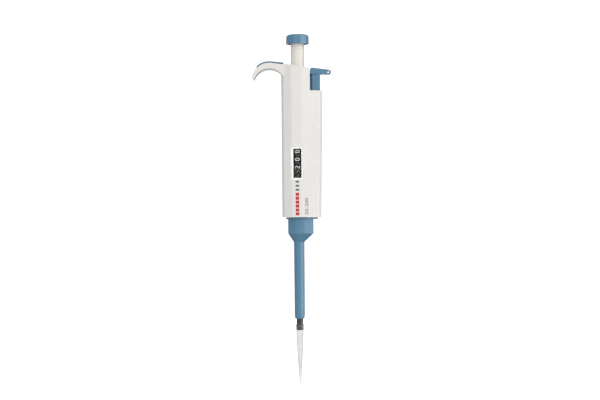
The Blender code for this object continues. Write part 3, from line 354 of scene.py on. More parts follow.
# %% [markdown]
# ## Clear lens and cloudy tip
# The lens is clear and bright with faint smears, which only its roughness shows. The tip is
# natural polypropylene, with the flow lines of the moulding along its length. It takes a
# little of the light for every millimetre that the light goes through. A Volume Absorption
# node does that, and so the long way through the edge of the wall comes out greyest.

# %% See-through plastics
clear_lens, tree, shader = new_finish("clear_lens")
tree.links.new(between(tree, noise(tree, 180, 4), 0.01, 0.06), shader.inputs["Roughness"])
tint = shades(tree, noise(tree, 60), (0.97, 0.98, 0.98), (0.94, 0.95, 0.95))
tree.links.new(tint, shader.inputs["Base Color"])
shader.inputs["Transmission Weight"].default_value = 1.0
shader.inputs["IOR"].default_value = 1.22

tip_plastic, tree, shader = new_finish("tip_plastic")
cloud = between(tree, noise(tree, 90, 4, (3, 3, 0.4)), 0, 1)
tint = shades(tree, cloud, (0.97, 0.97, 0.96), (0.93, 0.94, 0.93))
tree.links.new(tint, shader.inputs["Base Color"])
gloss = between(tree, noise(tree, 300, 3, (3, 3, 0.5)), 0.01, 0.04)
tree.links.new(gloss, shader.inputs["Roughness"])
grain(tree, shader, noise(tree, 300, 2, (3, 3, 0.2)), 0.0003 * MM, 0.3)
shader.inputs["Transmission Weight"].default_value = 1.0
shader.inputs["IOR"].default_value = 1.3
haze = tree.nodes.new("ShaderNodeVolumeAbsorption")
haze.inputs["Color"].default_value = (0.19, 0.2, 0.2, 1)
haze.inputs["Density"].default_value = 420.0
tree.links.new(haze.outputs["Volume"], tree.nodes["Material Output"].inputs["Volume"])

# %% [markdown]
# ## The handle's body
# The handle is two moulded half shells. Seen from above, its outline has a narrow flat face
# that holds the counter's window, one long slanted facet on each side of it, and short
# ones at the ends. The body starts as that outline extruded to full height. Its upright
# edges are rounded while they are still straight and easy to pick out, small on the shallow
# corners and larger at the ends.

# %% Handle outline and upright edges
half_deep = -shell_low.y
end_deep = 0.43 * half_deep
FACE = (-5.0, 2.6)
front_corners = [
    (shell_low.x, end_deep), (shell_low.x + 1.53, 0.68 * half_deep),
    (FACE[0] - 1.6, 0.94 * half_deep), (FACE[0], half_deep), (FACE[1], half_deep),
    (shell_high.x - 2.4, 0.66 * half_deep), (shell_high.x, end_deep),
]
outline = [(x, -y) for x, y in front_corners] + [(x, y) for x, y in reversed(front_corners)]
handle_body = upright(outline, shell_low.z, shell_high.z + 2)


def at_ends(edge):
    x = edge.verts[0].co.x
    return is_upright(edge) and (x < FACE[0] - 3 or x > FACE[1] + 8)


def beside_face(edge):
    return is_upright(edge) and FACE[0] - 3 < edge.verts[0].co.x < FACE[1] + 3


middle_edges = rounded(handle_body, beside_face, 0.25, 3)
ends = rounded(handle_body, at_ends, 0.7, 5)
print("rounded", middle_edges, "edges beside the face and", ends, "at the ends")

# %% [markdown]
# ## Right side, sloping top and foot
# The right side leans out by 1.8 mm from the foot to the ledge, so the lower points there
# are drawn in. The top slopes up towards the hook: a plane cuts it and the hole is filled.
# Round the foot runs a low flared lip, made by cutting one more loop just above the
# foot and moving the lowest points outwards at the front and the back.

# %% Taper, slope and lip
LEDGE_Z = shell_low.z + 103.0
NECK_X = 9.7
NECK_TOP_Z = LEDGE_Z + 18.4
TOP_SLOPE = 3.4 / (NECK_X + 11.0)
LIP = 1.7
LIP_FLARE = 1.065
FOOT_SHARE = 0.898  # of the right side's reach at the ledge


def bisect(bm, at, normal, clear=False):
    bmesh.ops.bisect_plane(bm, geom=bm.verts[:] + bm.edges[:] + bm.faces[:], dist=0.0001,
                           plane_co=at, plane_no=normal, clear_outer=clear)


bisect(handle_body, (NECK_X, 0, NECK_TOP_Z), (TOP_SLOPE, 0, 1), clear=True)
bmesh.ops.holes_fill(handle_body, edges=[edge for edge in handle_body.edges if edge.is_boundary])
bisect(handle_body, (0, 0, LEDGE_Z), (0, 0, 1))
for corner in handle_body.verts:
    if corner.co.x > FACE[1] + 1 and corner.co.z < LEDGE_Z - 1:
        corner.co.x = FACE[1] + (corner.co.x - FACE[1]) * FOOT_SHARE
bisect(handle_body, (0, 0, shell_low.z + LIP), (0, 0, 1))
for corner in handle_body.verts:
    inside = shell_low.x + 2.0 < corner.co.x < shell_high.x - 3.2
    if corner.co.z < shell_low.z + 0.01 and inside:
        corner.co.y *= LIP_FLARE
print("ledge at", round(LEDGE_Z, 1), "neck top at", round(NECK_TOP_Z, 1))

# %% [markdown]
# ## Neck and rims
# Above the ledge the right part of the handle is missing, which is where the ejector moves.
# A block with one rounded edge cuts that corner away, so that the neck meets the ledge in a
# small fillet. Then all rims that are still sharp get a 0.5 mm rounding.

# %% Cut the neck and round the rims
corner_block = block((NECK_X, -20, LEDGE_Z), (40, 20, LEDGE_Z + 40))


def inner_corner(edge):
    a, b = (corner.co for corner in edge.verts)
    return abs(a.x - NECK_X) + abs(b.x - NECK_X) + abs(a.z - LEDGE_Z) + abs(b.z - LEDGE_Z) < 0.01


rounded(corner_block, inner_corner, 0.6, 4)
handle_body = cut(handle_body, corner_block)
rims = rounded(handle_body, sharp_edges(48), 0.45, 4, clamp=False)
print("rounded", rims, "rim edges")

# %% [markdown]
# ## Hollowing the handle
# The shell's wall is 1.8 mm. Its hollow is the outline drawn in by that much, met with the
# side view drawn in as well. The same hollow is cut from both halves, and so are the
# throat for the button's sleeve, the slot for the ejector's stem and the hole for the barrel.

# %% The hollow and the shared holes
WALL = 1.8
stem_low, stem_high = spot("ejector_button")
sleeve_low, sleeve_high = spot("button_sleeve")
barrel_low, barrel_high = spot("tip_cone")
BARREL_RADIUS = barrel_high.x
SLEEVE_RADIUS = sleeve_high.x


def depth_at(x, inset):
    """The outline's half depth at x, less an inset."""
    for (x0, y0), (x1, y1) in zip(front_corners, front_corners[1:]):
        if x <= x1:
            return y0 + (y1 - y0) * (x - x0) / (x1 - x0) - inset
    return front_corners[-1][1] - inset


def drawn_in(inset, left, right):
    stops = [left] + [x for x, _ in front_corners if left < x < right] + [right]
    front = [(x, -depth_at(x, inset)) for x in stops]
    return front + [(x, -y) for x, y in reversed(front)]


def top_at(x):
    return NECK_TOP_Z + TOP_SLOPE * (NECK_X - x)


left, neck = shell_low.x + WALL, NECK_X - 1.5
floor_z = shell_low.z + 3.0
side_view = [
    (left, floor_z), (16.9, floor_z), (shell_high.x - 1.5, LEDGE_Z - WALL), (neck, LEDGE_Z - WALL),
    (neck, top_at(neck) - WALL), (left, top_at(left) - WALL),
]
hollow = drawn_in(WALL, shell_low.x + 0.5, shell_high.x - 0.5)
hollow = upright(hollow, shell_low.z - 1, shell_high.z + 1)
hollow = cut(hollow, sideways(side_view, -20, 20), "INTERSECT")
handle_body = cut(handle_body, hollow)
below, above = 130, 300  # heights that clear the handle at both ends
handle_body = cut(handle_body, plug(SLEEVE_RADIUS + 0.5, 240, 270))
handle_body = cut(handle_body, plug(BARREL_RADIUS + 0.3, below, floor_z + 1))
stem_slot = block((NECK_X + 0.06, -5.3, LEDGE_Z - 4), (18.6, 5.3, LEDGE_Z + 1))
rounded(stem_slot, is_upright, 0.8, 4)
handle_body = cut(handle_body, stem_slot)
print("hollow handle:", len(handle_body.faces), "faces")

# %% [markdown]
# ## Two half shells and the window
# A real shell parts at its middle plane, where a hairline shows. Each half is a copy of the
# body with the other side cut away 0.05 mm before the middle. The front half also has the
# counter's window, with a shallow rounded recess round it for the lens, and the hole for
# the ejector's rod.

# %% Split the shells
lens_low, lens_high = spot("window_lens")
LENS_MARGIN = 1.45


def window_block(margin, front, back, corner):
    """A box round the window's middle with rounded corners, seen from the front."""
    tool = block((lens_low.x + LENS_MARGIN - margin, front, lens_low.z + LENS_MARGIN - margin),
                 (lens_high.x - LENS_MARGIN + margin, back, lens_high.z - LENS_MARGIN + margin))
    rounded(tool, lambda edge: abs(edge.verts[0].co.y - edge.verts[1].co.y) > 1, corner, 5)
    return tool


HAIR = 0.05
front_half = cut(handle_body.copy(), block((-40, -HAIR, 100), (60, 40, above)))
back_half = cut(handle_body, block((-40, -40, 100), (60, HAIR, above)))
front_half = cut(front_half, window_block(LENS_MARGIN + 0.12, -20, lens_high.y + 0.3, 1.3))
front_half = cut(front_half, window_block(0, -20, -8, 0.5))
rod_low, rod_high = spot("ejector_rod")
rod_middle = (rod_low + rod_high) / 2
rod_hole = plug(1.9, below, floor_z + 1, 48)
front_half = cut(front_half, moved(rod_hole, rod_middle.x, rod_middle.y))
keep("handle_front_shell", front_half, white_plastic, "handle", ["handle_front"])
keep("handle_back_shell", back_half, white_plastic, "handle", ["handle_back"])

# %% [markdown]
# ## The finger hook
# The hook is a curved strap that rests on the forefinger. Its inner side is an arc that runs
# on past the handle's edge, so that the strap dies into the slanted facet, and its outer
# side thins towards the free end. The side view is extruded across, the handle is cut
# away from it, and the long edges are rounded to be kind to the finger.

# %% Hook
HOOK_RADIUS = 13.0
HOOK_X = -AXIS_AT.x / MM
HOOK_Z = -AXIS_AT.z / MM - HOOK_RADIUS
HALF_WIDE = spot("finger_hook")[1].y
pad_end = spot("hook_pad")[1].x


def on_arc(radius, degrees):
    turn = radians(degrees)
    return HOOK_X + radius * cos(turn), HOOK_Z + radius * sin(turn)


def strap(degrees):
    """The strap's thickness: 4.8 mm, thinning past the crown to 1.8 mm at the end."""
    return 4.8 - 3.0 * (max(0, degrees - 100) / 61) ** 1.4


inner = [on_arc(HOOK_RADIUS, 22 + 139 * k / 60) for k in range(61)]
outer = [on_arc(HOOK_RADIUS + strap(a), a) for a in (159 - 74 * k / 36 for k in range(37))]
hook = sideways(inner + outer + [(-9.5, top_at(-9.5) - 0.3)], -HALF_WIDE, HALF_WIDE)
print("hook edges rounded:", rounded(hook, sharp_edges(40), 0.6, 4, clamp=False))
hook = cut(hook, upright(outline, 200, 275))
keep("hook_strap", hook, white_plastic, "handle", ["finger_hook"])

# %% [markdown]
# ## The hook's coloured pad
# A 1.2 mm strip of blue plastic lies on the strap from about half way along it to the
# handle's crest. It follows the strap's outer side with a hair's clearance, and its edges are soft.

# %% Hook pad
under = [on_arc(HOOK_RADIUS + strap(a) + 0.05, a) for a in (126 - 41 * k / 30 for k in range(31))]
over = [on_arc(HOOK_RADIUS + strap(a) + 1.25, a) for a in (125 - 40 * k / 30 for k in range(31))]
under.append((pad_end, top_at(pad_end) + 0.12))
over.append((pad_end - 0.5, top_at(pad_end) + 1.1))
pad = sideways(under + over[::-1], -HALF_WIDE + 0.6, HALF_WIDE - 0.6)
rounded(pad, sharp_edges(40), 0.35, 3)
keep("hook_pad_strip", pad, blue_plastic, "handle", ["hook_pad"])

# %% [markdown]
# ## The lens
# The lens is a clear plate that lies flush in its recess. Its front edge is rounded, which
# is what draws the bright line round a real counter window.

# %% Lens
lens = window_block(LENS_MARGIN, lens_low.y - 0.12, lens_high.y, 1.2)
rounded(lens, lambda edge: all(corner.co.y < lens_low.y for corner in edge.verts), 0.3, 4)
lens_piece = keep("counter_lens", lens, clear_lens, "handle", ["window_lens"])
lens_piece.visible_shadow = False

# %% [markdown]
# ## Digit wheels
# Three black wheels carry the volume in microlitres: hundreds at the bottom, then tens, then
# units. The two lower ones also carry a ring of gear teeth for the carry pinions. Each wheel
# is turned as a ring with rounded rims; its toothed part is an extruded outline.

# %% Wheels
drive_bore = 3.5
wheel_radius = spot("units_wheel")[1].x
GEAR_TEETH, PINION_TEETH = 20, 8
gear_radius = wheel_radius - 0.8
pinion_low, pinion_high = spot("upper_carry_pinion")
pinion_x = (pinion_low.x + pinion_high.x) / 2
pinion_y = (pinion_low.y + pinion_high.y) / 2
PINION_WAY = Vector((pinion_x, pinion_y)).angle_signed(Vector((1, 0)))


def teeth(count, radius, turn, wide):
    """Straight-sided gear teeth; one of them points along turn."""
    points = []
    for k in range(count):
        middle = turn + 2 * pi * k / count
        for reach, half in ((radius - 0.85, -0.62), (radius + 0.45, -0.36), (radius + 0.6, -0.24),
                            (radius + 0.6, 0.24), (radius + 0.45, 0.36), (radius - 0.85, 0.62)):
            angle = middle + half * wide / reach
            points.append((reach * cos(angle), reach * sin(angle)))
    return points


def soft_ring(inner, outer, low, high, soft=0.25, steps=96):
    """A turned ring whose four rims are rounded."""
    corners = []
    quarters = ((inner + soft, low + soft, 180), (outer - soft, low + soft, 270),
                (outer - soft, high - soft, 0), (inner + soft, high - soft, 90))
    for radius, height, start in quarters:
        for turn in (start, start + 30, start + 60, start + 90):
            corners.append((radius + soft * cos(radians(turn)), height + soft * sin(radians(turn))))
    return turned(corners, steps)


def add(bm, other):
    """Join a second bmesh to the first as a loose part."""
    mesh = bpy.data.meshes.new("joined")
    other.to_mesh(mesh)
    other.free()
    bm.from_mesh(mesh)
    bpy.data.meshes.remove(mesh)


def wheel(node, name, body, geared):
    low, high = spot(node)
    rim_top = low.z + 4.3 if geared else high.z
    bm = soft_ring(drive_bore, wheel_radius, low.z, rim_top)
    if geared:
        turn = PINION_WAY + pi / GEAR_TEETH
        gear = teeth(GEAR_TEETH, gear_radius, turn, pi * gear_radius / GEAR_TEETH)
        gear = cut(upright(gear, rim_top - 0.4, high.z), plug(drive_bore, rim_top - 2, high.z + 1))
        bm = cut(bm, gear, "UNION")
    keep(name, bm, black_plastic, body, [node])
    return low.z, rim_top


units_at = wheel("units_wheel", "units_drum", "volume_drive", False)
tens_at = wheel("tens_wheel", "tens_drum", "tens_digit", True)
hundreds_at = wheel("hundreds_wheel", "hundreds_drum", "hundreds_digit", True)

# %% [markdown]
# ## Figures on the wheels
# The figures lie on their backs, so the volume is read from the bottom up. Each is a text
# object turned into a mesh, sized, sliced into narrow strips so that it can bend, and wrapped
# round its wheel. The ten figures of a wheel are 36 degrees apart, and the wheel shows its
# own digit of 200 at the front.

# %% Wrap figures round a wheel
FIGURE_TALL, FIGURE_WIDE = 3.8, 2.4


def glyph(text, tall, wide, thick=0.05):
    """A figure as a solid centred on the origin: reading along x, its top towards y."""
    curve = bpy.data.curves.new("figure", "FONT")
    curve.body = text
    curve.extrude = thick / 2
    curve.resolution_u = 6
    item = bpy.data.objects.new("figure", curve)
    bpy.context.scene.collection.objects.link(item)
    depsgraph = bpy.context.evaluated_depsgraph_get()
    mesh = bpy.data.meshes.new_from_object(item.evaluated_get(depsgraph))
    bpy.data.objects.remove(item, do_unlink=True)
    bm = bmesh.new()
    bm.from_mesh(mesh)
    bpy.data.meshes.remove(mesh)
    bmesh.ops.remove_doubles(bm, verts=bm.verts, dist=0.0001)
    xs = [corner.co.x for corner in bm.verts]
    ys = [corner.co.y for corner in bm.verts]
    moved(bm, -(min(xs) + max(xs)) / 2, -(min(ys) + max(ys)) / 2)
    grow = (wide / (max(xs) - min(xs)), tall / (max(ys) - min(ys)), 1)
    bmesh.ops.scale(bm, verts=bm.verts, vec=grow)
    return bm


def figures(name, body, heights, shown):
    ring = bmesh.new()
    for digit in range(10):
        wide = FIGURE_WIDE * (0.5 if digit == 1 else 1)
        bm = glyph(str(digit), FIGURE_TALL, wide)
        for k in range(-4, 5):
            bisect(bm, (0, 0.45 * k, 0), (0, 1, 0))
        for corner in bm.verts:
            angle = radians(36) * (shown - digit) - (corner.co.y + 0.95) / wheel_radius
            reach = wheel_radius + 0.03 + corner.co.z
            corner.co = (reach * sin(angle), -reach * cos(angle), heights[0] + 3.0 + corner.co.x)
        add(ring, bm)
    bmesh.ops.recalc_face_normals(ring, faces=ring.faces)
    keep(name, ring, figure_ink, body)


figures("units_figures", "volume_drive", units_at, 0)
figures("tens_figures", "tens_digit", tens_at, 0)
figures("hundreds_figures", "hundreds_digit", hundreds_at, 2)

# %% [markdown]
# ## Base ring and carry pinions
# Below the wheels a plain ring fills the window. It is fluted, and its flutes catch the light
# as grey upright streaks. The pinions carry a tenth of a turn from wheel to wheel.

# %% Base ring and pinions
base_low, base_high = spot("counter_base_ring")
flutes = [(wheel_radius - 0.02 - 0.14 * (k % 2), 2 * pi * k / 96) for k in range(96)]
ring = upright([(r * cos(a), r * sin(a)) for r, a in flutes], base_low.z, base_high.z)
rounded(ring, lambda edge: not is_upright(edge) and edge.calc_face_angle(0) > 1, 0.15, 2)
ring = cut(ring, plug(drive_bore, base_low.z - 1, base_high.z + 1))
keep("fluted_base_ring", ring, black_plastic, "handle", ["counter_base_ring"], 20)

pinion_radius = gear_radius * PINION_TEETH / GEAR_TEETH
for node, name, body in (("lower_carry_pinion", "lower_pinion", "lower_carry"),
                         ("upper_carry_pinion", "upper_pinion", "upper_carry")):
    low, high = spot(node)
    wide = 0.9 * pi * pinion_radius / PINION_TEETH
    bm = upright(teeth(PINION_TEETH, pinion_radius, PINION_WAY + pi, wide), low.z, high.z)
    bm = cut(bm, plug(0.9, low.z - 1, high.z + 1, 32))
    keep(name, moved(bm, pinion_x, pinion_y), natural_plastic, body, [node])

# %% [markdown]
# ## Printed marks
# The handle carries printed marks on the flat face below the window: three grey bars, six
# red bars and, on the slanted facet beside them, the range in pale grey figures. They are thin
# solids that stand 0.04 mm proud of the plastic, as pad printing does.

# %% Marks on the handle
def bars(name, ink, count, tall, low, high):
    """A row of equal bars up the flat face, between two heights."""
    row = bmesh.new()
    step = (high - low - tall) / (count - 1)
    for k in range(count):
        foot = low + k * step
        bm = block((-2.5, -half_deep - 0.04, foot), (0.35, -half_deep + 0.05, foot + tall))
        rounded(bm, lambda edge: abs(edge.verts[0].co.y - edge.verts[1].co.y) > 0.05, 0.35, 4)
        add(row, bm)
    keep(name, row, ink, "handle")


mark_z = shell_low.z + 21.5
bars("grey_marks", grey_ink, 3, 1.6, mark_z, mark_z + 8.2)
bars("red_marks", red_ink, 6, 2.55, mark_z - 20, mark_z - 1.6)
facet = Vector((front_corners[5][0] - FACE[1], half_deep - front_corners[5][1]))
range_text = glyph("20-200", 2.7, 13.5, 0.06)
facet_way = Vector((facet.x, facet.y, 0)).normalized()
facet_out = Vector((facet_way.y, -facet_way.x, 0))
turn = Matrix((Vector((0, 0, 1)), -facet_way, facet_out)).transposed()
bmesh.ops.transform(range_text, matrix=turn.to_4x4(), verts=range_text.verts)
place = Vector((FACE[1], -half_deep, mark_z - 12.6)) + facet_way * 3.9 + facet_out * 0.01
keep("range_mark", moved(range_text, *place), pale_ink, "handle")

# %% [markdown]
# ## The push button
# The button has ten soft sides, flares a little towards its open foot, and closes in a
# rounded rim and a slightly domed top. It starts as a ten-cornered circle whose corners are
# rounded; each further ring is the last one extruded, lifted and scaled. Inside is a skirt
# wall, with a boss that holds the sleeve.

# %% Button
button_low, button_high = spot("push_button")


def stacked(start, rings):
    """Extrude a closed loop through (radius, height) rings, then close its last ring."""
    bm = start
    loop = bm.edges[:]
    radius = max(corner.co.xy.length for corner in bm.verts)
    for reach, height in rings:
        grown = bmesh.ops.extrude_edge_only(bm, edges=loop)["geom"]
        corners = [part for part in grown if isinstance(part, bmesh.types.BMVert)]
        loop = [part for part in grown if isinstance(part, bmesh.types.BMEdge)]
        size = reach / radius
        for corner in corners:
            corner.co = (corner.co.x * size, corner.co.y * size, height)
        radius = reach
    bmesh.ops.contextual_create(bm, geom=loop)
    return bm


def ten_sides(radius, height, corner):
    bm = bmesh.new()
    bmesh.ops.create_circle(bm, segments=10, radius=radius, cap_ends=False)
    swung(bm, 18)
    bmesh.ops.bevel(bm, geom=bm.verts[:], offset=corner, segments=4, profile=0.5,
                    affect="VERTICES", material=-1)
    return moved(bm, 0, 0, height)


z = button_low.z
top = button_high.z
R = button_high.x
outside_rings = [
    (0.995 * R, z + 0.12), (R, z + 0.4), (0.985 * R, z + 1.1), (0.965 * R, top - 2.1),
    (0.95 * R, top - 1.55), (0.915 * R, top - 1.1), (0.86 * R, top - 0.78), (0.78 * R, top - 0.6),
    (0.6 * R, top - 0.36), (0.35 * R, top - 0.12), (0.1 * R, top),
]
inside_rings = [(0.875 * R, z + 0.15), (0.86 * R, z + 3.6)]
button = stacked(ten_sides(0.985 * R, z, 0.8), outside_rings)
inside = stacked(ten_sides(0.88 * R, z - 0.01, 0.7), inside_rings)
bmesh.ops.contextual_create(button, geom=[edge for edge in button.edges if edge.is_boundary])
bmesh.ops.contextual_create(inside, geom=[edge for edge in inside.edges if edge.is_boundary])
for part in (button, inside):
    bmesh.ops.recalc_face_normals(part, faces=part.faces)
button = cut(button, inside)
fit = SLEEVE_RADIUS + 0.1
boss = turned([(fit, z + 0.6), (SLEEVE_RADIUS + 1.3, z + 0.6), (SLEEVE_RADIUS + 1.4, z + 3.7),
               (fit, z + 3.7)])
button = cut(button, boss, "UNION")
socket = turned([(0, z - 1), (fit, z - 1), (fit, z + 2), (1.6, z + 2), (1.6, z + 5.3), (0, z + 5.3)])
button = cut(button, socket)
keep("thumb_button", button, blue_plastic, "plunger", ["push_button"], 40)

# %% [markdown]
# ## The button's sleeve
# The ivory sleeve slides through the throat. It is a smooth tube with shallow
# grooves along it and a six-sided bore that turns the volume screw.

# %% Sleeve
tube = soft_ring(3.0, SLEEVE_RADIUS, sleeve_low.z, sleeve_high.z, 0.4)
for degrees in (-112, -78, -28, 8, 52, 98, 142, 178):
    groove = block((SLEEVE_RADIUS - 0.28, -0.35, sleeve_low.z + 6),
                   (SLEEVE_RADIUS + 1, 0.35, sleeve_high.z + 1))
    tube = cut(tube, swung(groove, degrees))
hexagon = [(4.39 * cos(pi / 6 + k * pi / 3), 4.39 * sin(pi / 6 + k * pi / 3)) for k in range(6)]
tube = cut(tube, upright(hexagon, sleeve_low.z - 1, sleeve_high.z + 1))
keep("sliding_sleeve", tube, ivory_plastic, "plunger", ["button_sleeve"])
bush_low, bush_high = spot("top_bush")
bush = soft_ring(SLEEVE_RADIUS + 0.3, bush_high.x, bush_low.z, bush_high.z, 0.2)
keep("throat_bush", bush, dark_plastic, "handle", ["top_bush"])

# %% [markdown]
# ## The ejector's button
# The ejector is worked by the thumb too. Its head is a blue wedge with a rounded nose,
# pierced by a small eye, and it stands on a stem that dives into the handle beside the neck.
# Head and stem are side views extruded across, joined, with all their edges softened.

# %% Ejector button
head_low_z = NECK_TOP_Z - 4.9
NOSE, CORNER = 1.75, 1.9
STEM = (11.5, 17.4, 18.3)  # left side, right side in the handle and above it
nose_x = stem_high.x - NOSE


def arc(x, z, radius, turns):
    return [(x + radius * cos(radians(a)), z + radius * sin(radians(a))) for a in turns]


nose = arc(nose_x, head_low_z + NOSE, NOSE, range(-90, 76, 11))
back_corner = arc(stem_low.x + CORNER, stem_high.z - CORNER, CORNER, range(90, 181, 10))
head = sideways(nose + back_corner + [(stem_low.x, head_low_z)], stem_low.y, stem_high.y)
rounded(head, sharp_edges(40), 0.55, 4)
stem = sideways([(STEM[0], stem_low.z), (STEM[1], stem_low.z), (STEM[1], LEDGE_Z - 2.2),
                 (STEM[2], LEDGE_Z - 0.3), (STEM[2], head_low_z + 1), (STEM[0], head_low_z + 1)], -5, 5)
rounded(stem, lambda edge: is_upright(edge) and edge.calc_face_angle(0) > 1, 0.8, 4)
button = cut(head, stem, "UNION")
key = block((stem_low.x - 0.1, -1, stem_low.z + 10), (STEM[0] + 0.9, 1, head_low_z + 1))
button = cut(button, key, "UNION")
socket = plug(1.7, stem_low.z - 1, stem_low.z + 8, 48)
button = cut(button, moved(socket, rod_middle.x, rod_middle.y))
eye = swung(plug(1.0, -20, 20, 48), 90, "X")
button = cut(button, moved(eye, nose_x - 0.5, 0, head_low_z + NOSE))
keep("ejector_thumb_piece", button, blue_plastic, "ejector", ["ejector_button"])

# %% [markdown]
# ## The ejector's sleeve
# The lower half of the pipette is covered by a blue sleeve that pushes the tip off. A slim
# tube widens through a shoulder into a block under the handle, with a thin flange on top.
# It is a loft of closed loops, bridged in order. Eight facets, much like those of the handle,
# are only hinted at on the tube and come out fully on the block. Each facet pulls a ray back
# to its own plane, and a high power of those pulls gives the nearest one with a soft corner.

# %% Loft the sleeve
tube_low, tube_high = spot("ejector_sleeve")


OUTLINE = [(-1, 0.5), (-0.35, 1), (0.1, 1), (1, 0.5), (1, -0.5), (0.1, -1), (-0.35, -1), (-1, -0.5)]
FACETS = []
for (x0, y0), (x1, y1) in zip(OUTLINE, OUTLINE[1:] + OUTLINE[:1]):
    out = Vector((y0 - y1, x1 - x0)).normalized()
    FACETS.append((out, out.dot(Vector((x0, y0)))))


def faceted(left, right, deep, share, height, points=120):
    """A closed loop, an ellipse at share 0 and eight facets with soft corners at share 1."""
    middle, wide = (left + right) / 2, (right - left) / 2
    loop = []
    for k in range(points):
        ray = Vector((cos(2 * pi * k / points), sin(2 * pi * k / points)))
        pull = sum(max(0, out.dot(ray) / far) ** 24 for out, far in FACETS) ** (1 / 24)
        reach = 1 - share + share / pull
        loop.append((middle + wide * ray.x * reach, deep * ray.y * reach, height))
    return loop


def lofted(sections):
    bm = bmesh.new()
    loops = []
    for section in sections:
        points = [bm.verts.new(point) for point in section]
        loops.append([bm.edges.new(pair) for pair in zip(points, points[1:] + points[:1])])
    for lower, upper in zip(loops, loops[1:]):
        bmesh.ops.bridge_loops(bm, edges=lower + upper)
    for end in (loops[0], loops[-1]):
        bmesh.ops.contextual_create(bm, geom=end)
    bmesh.ops.recalc_face_normals(bm, faces=bm.faces)
    return bm


BLOCK_TOP = tube_high.z - 1.3
BLOCK_LOW = BLOCK_TOP - 11.7
TUBE_TOP = BLOCK_LOW - 7.0
BLOCK = (tube_low.x + 1.7, tube_high.x - 3.8, tube_high.y - 0.4)
FLANGE = (tube_low.x, tube_high.x, tube_high.y)
TUBE_WIDE = 4.35
HINT = 0.5
foot = tube_low.z
sections = [faceted(-r, r, r, HINT, h) for r, h in (
    (3.75, foot), (3.85, foot + 0.12), (4.0, foot + 2), (4.15, foot + 4.5), (TUBE_WIDE, TUBE_TOP))]
for share in (0.06, 0.5, 0.94, 1.0):
    left = -TUBE_WIDE + share * (BLOCK[0] + TUBE_WIDE)
    right = TUBE_WIDE + share * (BLOCK[1] - TUBE_WIDE)
    deep = TUBE_WIDE + share * (BLOCK[2] - TUBE_WIDE)
    sections.append(faceted(left, right, deep, HINT + (1 - HINT) * share, TUBE_TOP + 7.0 * share))
sections.append(faceted(*BLOCK, 1, BLOCK_LOW + 0.4))
sections.append(faceted(*BLOCK, 1, BLOCK_TOP - 0.4))
sections.append(faceted(BLOCK[0] - 0.15, BLOCK[1] + 0.15, BLOCK[2] + 0.05, 1, BLOCK_TOP - 0.02))
edges = ((0.15, BLOCK_TOP), (0, BLOCK_TOP + 0.2), (0, tube_high.z - 0.2), (0.15, tube_high.z))
for less, height in edges:
    sections.append(faceted(FLANGE[0] + less, FLANGE[1] - less, FLANGE[2] - less, 1, height))
sleeve = lofted(sections)
wide = BARREL_RADIUS + 0.5
bore = turned([
    (0, tube_low.z - 1), (3.0, tube_low.z - 1), (3.0, tube_low.z + 0.8), (3.5, tube_low.z + 1.3),
    (3.5, TUBE_TOP), (wide, BLOCK_LOW), (wide, tube_high.z + 1), (0, tube_high.z + 1)])
sleeve = cut(sleeve, bore)
keep("ejector_tube", sleeve, blue_plastic, "ejector", ["ejector_sleeve"])

# %% [markdown]
# ## Ejector rod and its collar
# Between the handle and the sleeve's flange a steel rod shows when the ejector is pressed.
# It is a plain turned rod with a chamfer at each end, and a collar on it holds its spring.

# %% Rod and collar
rod = turned([(0, rod_low.z), (1.3, rod_low.z), (1.6, rod_low.z + 0.3), (1.6, rod_high.z - 0.3),
              (1.3, rod_high.z), (0, rod_high.z)], 48)
rod = moved(rod, rod_middle.x, rod_middle.y)
keep("ejector_push_rod", rod, polished_steel, "ejector", ["ejector_rod"])
collar_low, collar_high = spot("ejector_collar")
collar = soft_ring(1.7, 3.0, collar_low.z, collar_high.z, 0.25, 48)
collar = moved(collar, rod_middle.x, rod_middle.y)
keep("ejector_rod_collar", collar, dark_plastic, "ejector", ["ejector_collar"])

# %% [markdown]
# ## Cone and barrel
# The dark cone carries the tip. Its shaft runs up inside the sleeve and opens into the
# barrel that holds the piston's seal. It is one profile, turned, with a fine lead-in at the
# nose and two shallow sealing rings where the tip grips.

# %% Cone
nose_z = barrel_low.z
tip_top = spot("pipette_tip")[1].z
shoulder_z = TUBE_TOP + 0.5
floor = BLOCK_LOW + 1.0
profile = [(0.75, nose_z), (2.3, nose_z), (2.45, nose_z + 0.25)]
for ring_z in (nose_z + 1.5, nose_z + 3.2):
    near = 2.45 + 0.25 * (ring_z - nose_z) / (tip_top - nose_z)
    profile += [(near, ring_z - 0.4), (near + 0.06, ring_z - 0.15),
                (near + 0.06, ring_z + 0.15), (near, ring_z + 0.4)]
profile += [
    (2.7, tip_top), (2.7, tube_low.z + 4), (3.1, tube_low.z + 5), (3.1, shoulder_z),
    (BARREL_RADIUS, shoulder_z + 7), (BARREL_RADIUS, barrel_high.z - 0.3),
    (BARREL_RADIUS - 0.3, barrel_high.z),
    (BARREL_RADIUS - 0.9, barrel_high.z), (BARREL_RADIUS - 0.9, floor), (2.35, floor),
    (2.35, nose_z + 20), (0.75, nose_z + 19),
]
keep("cone_and_barrel", turned(profile), dark_plastic, "handle", ["tip_cone"])

# %% [markdown]
# ## The tip
# A fitted tip is a long thin-walled cone with a collar. The wall must be a true wall, because
# the light that passes through it sees both of its sides. The outside profile goes up from
# the mouth and the inside comes back down; the collar has fine ribs along it.

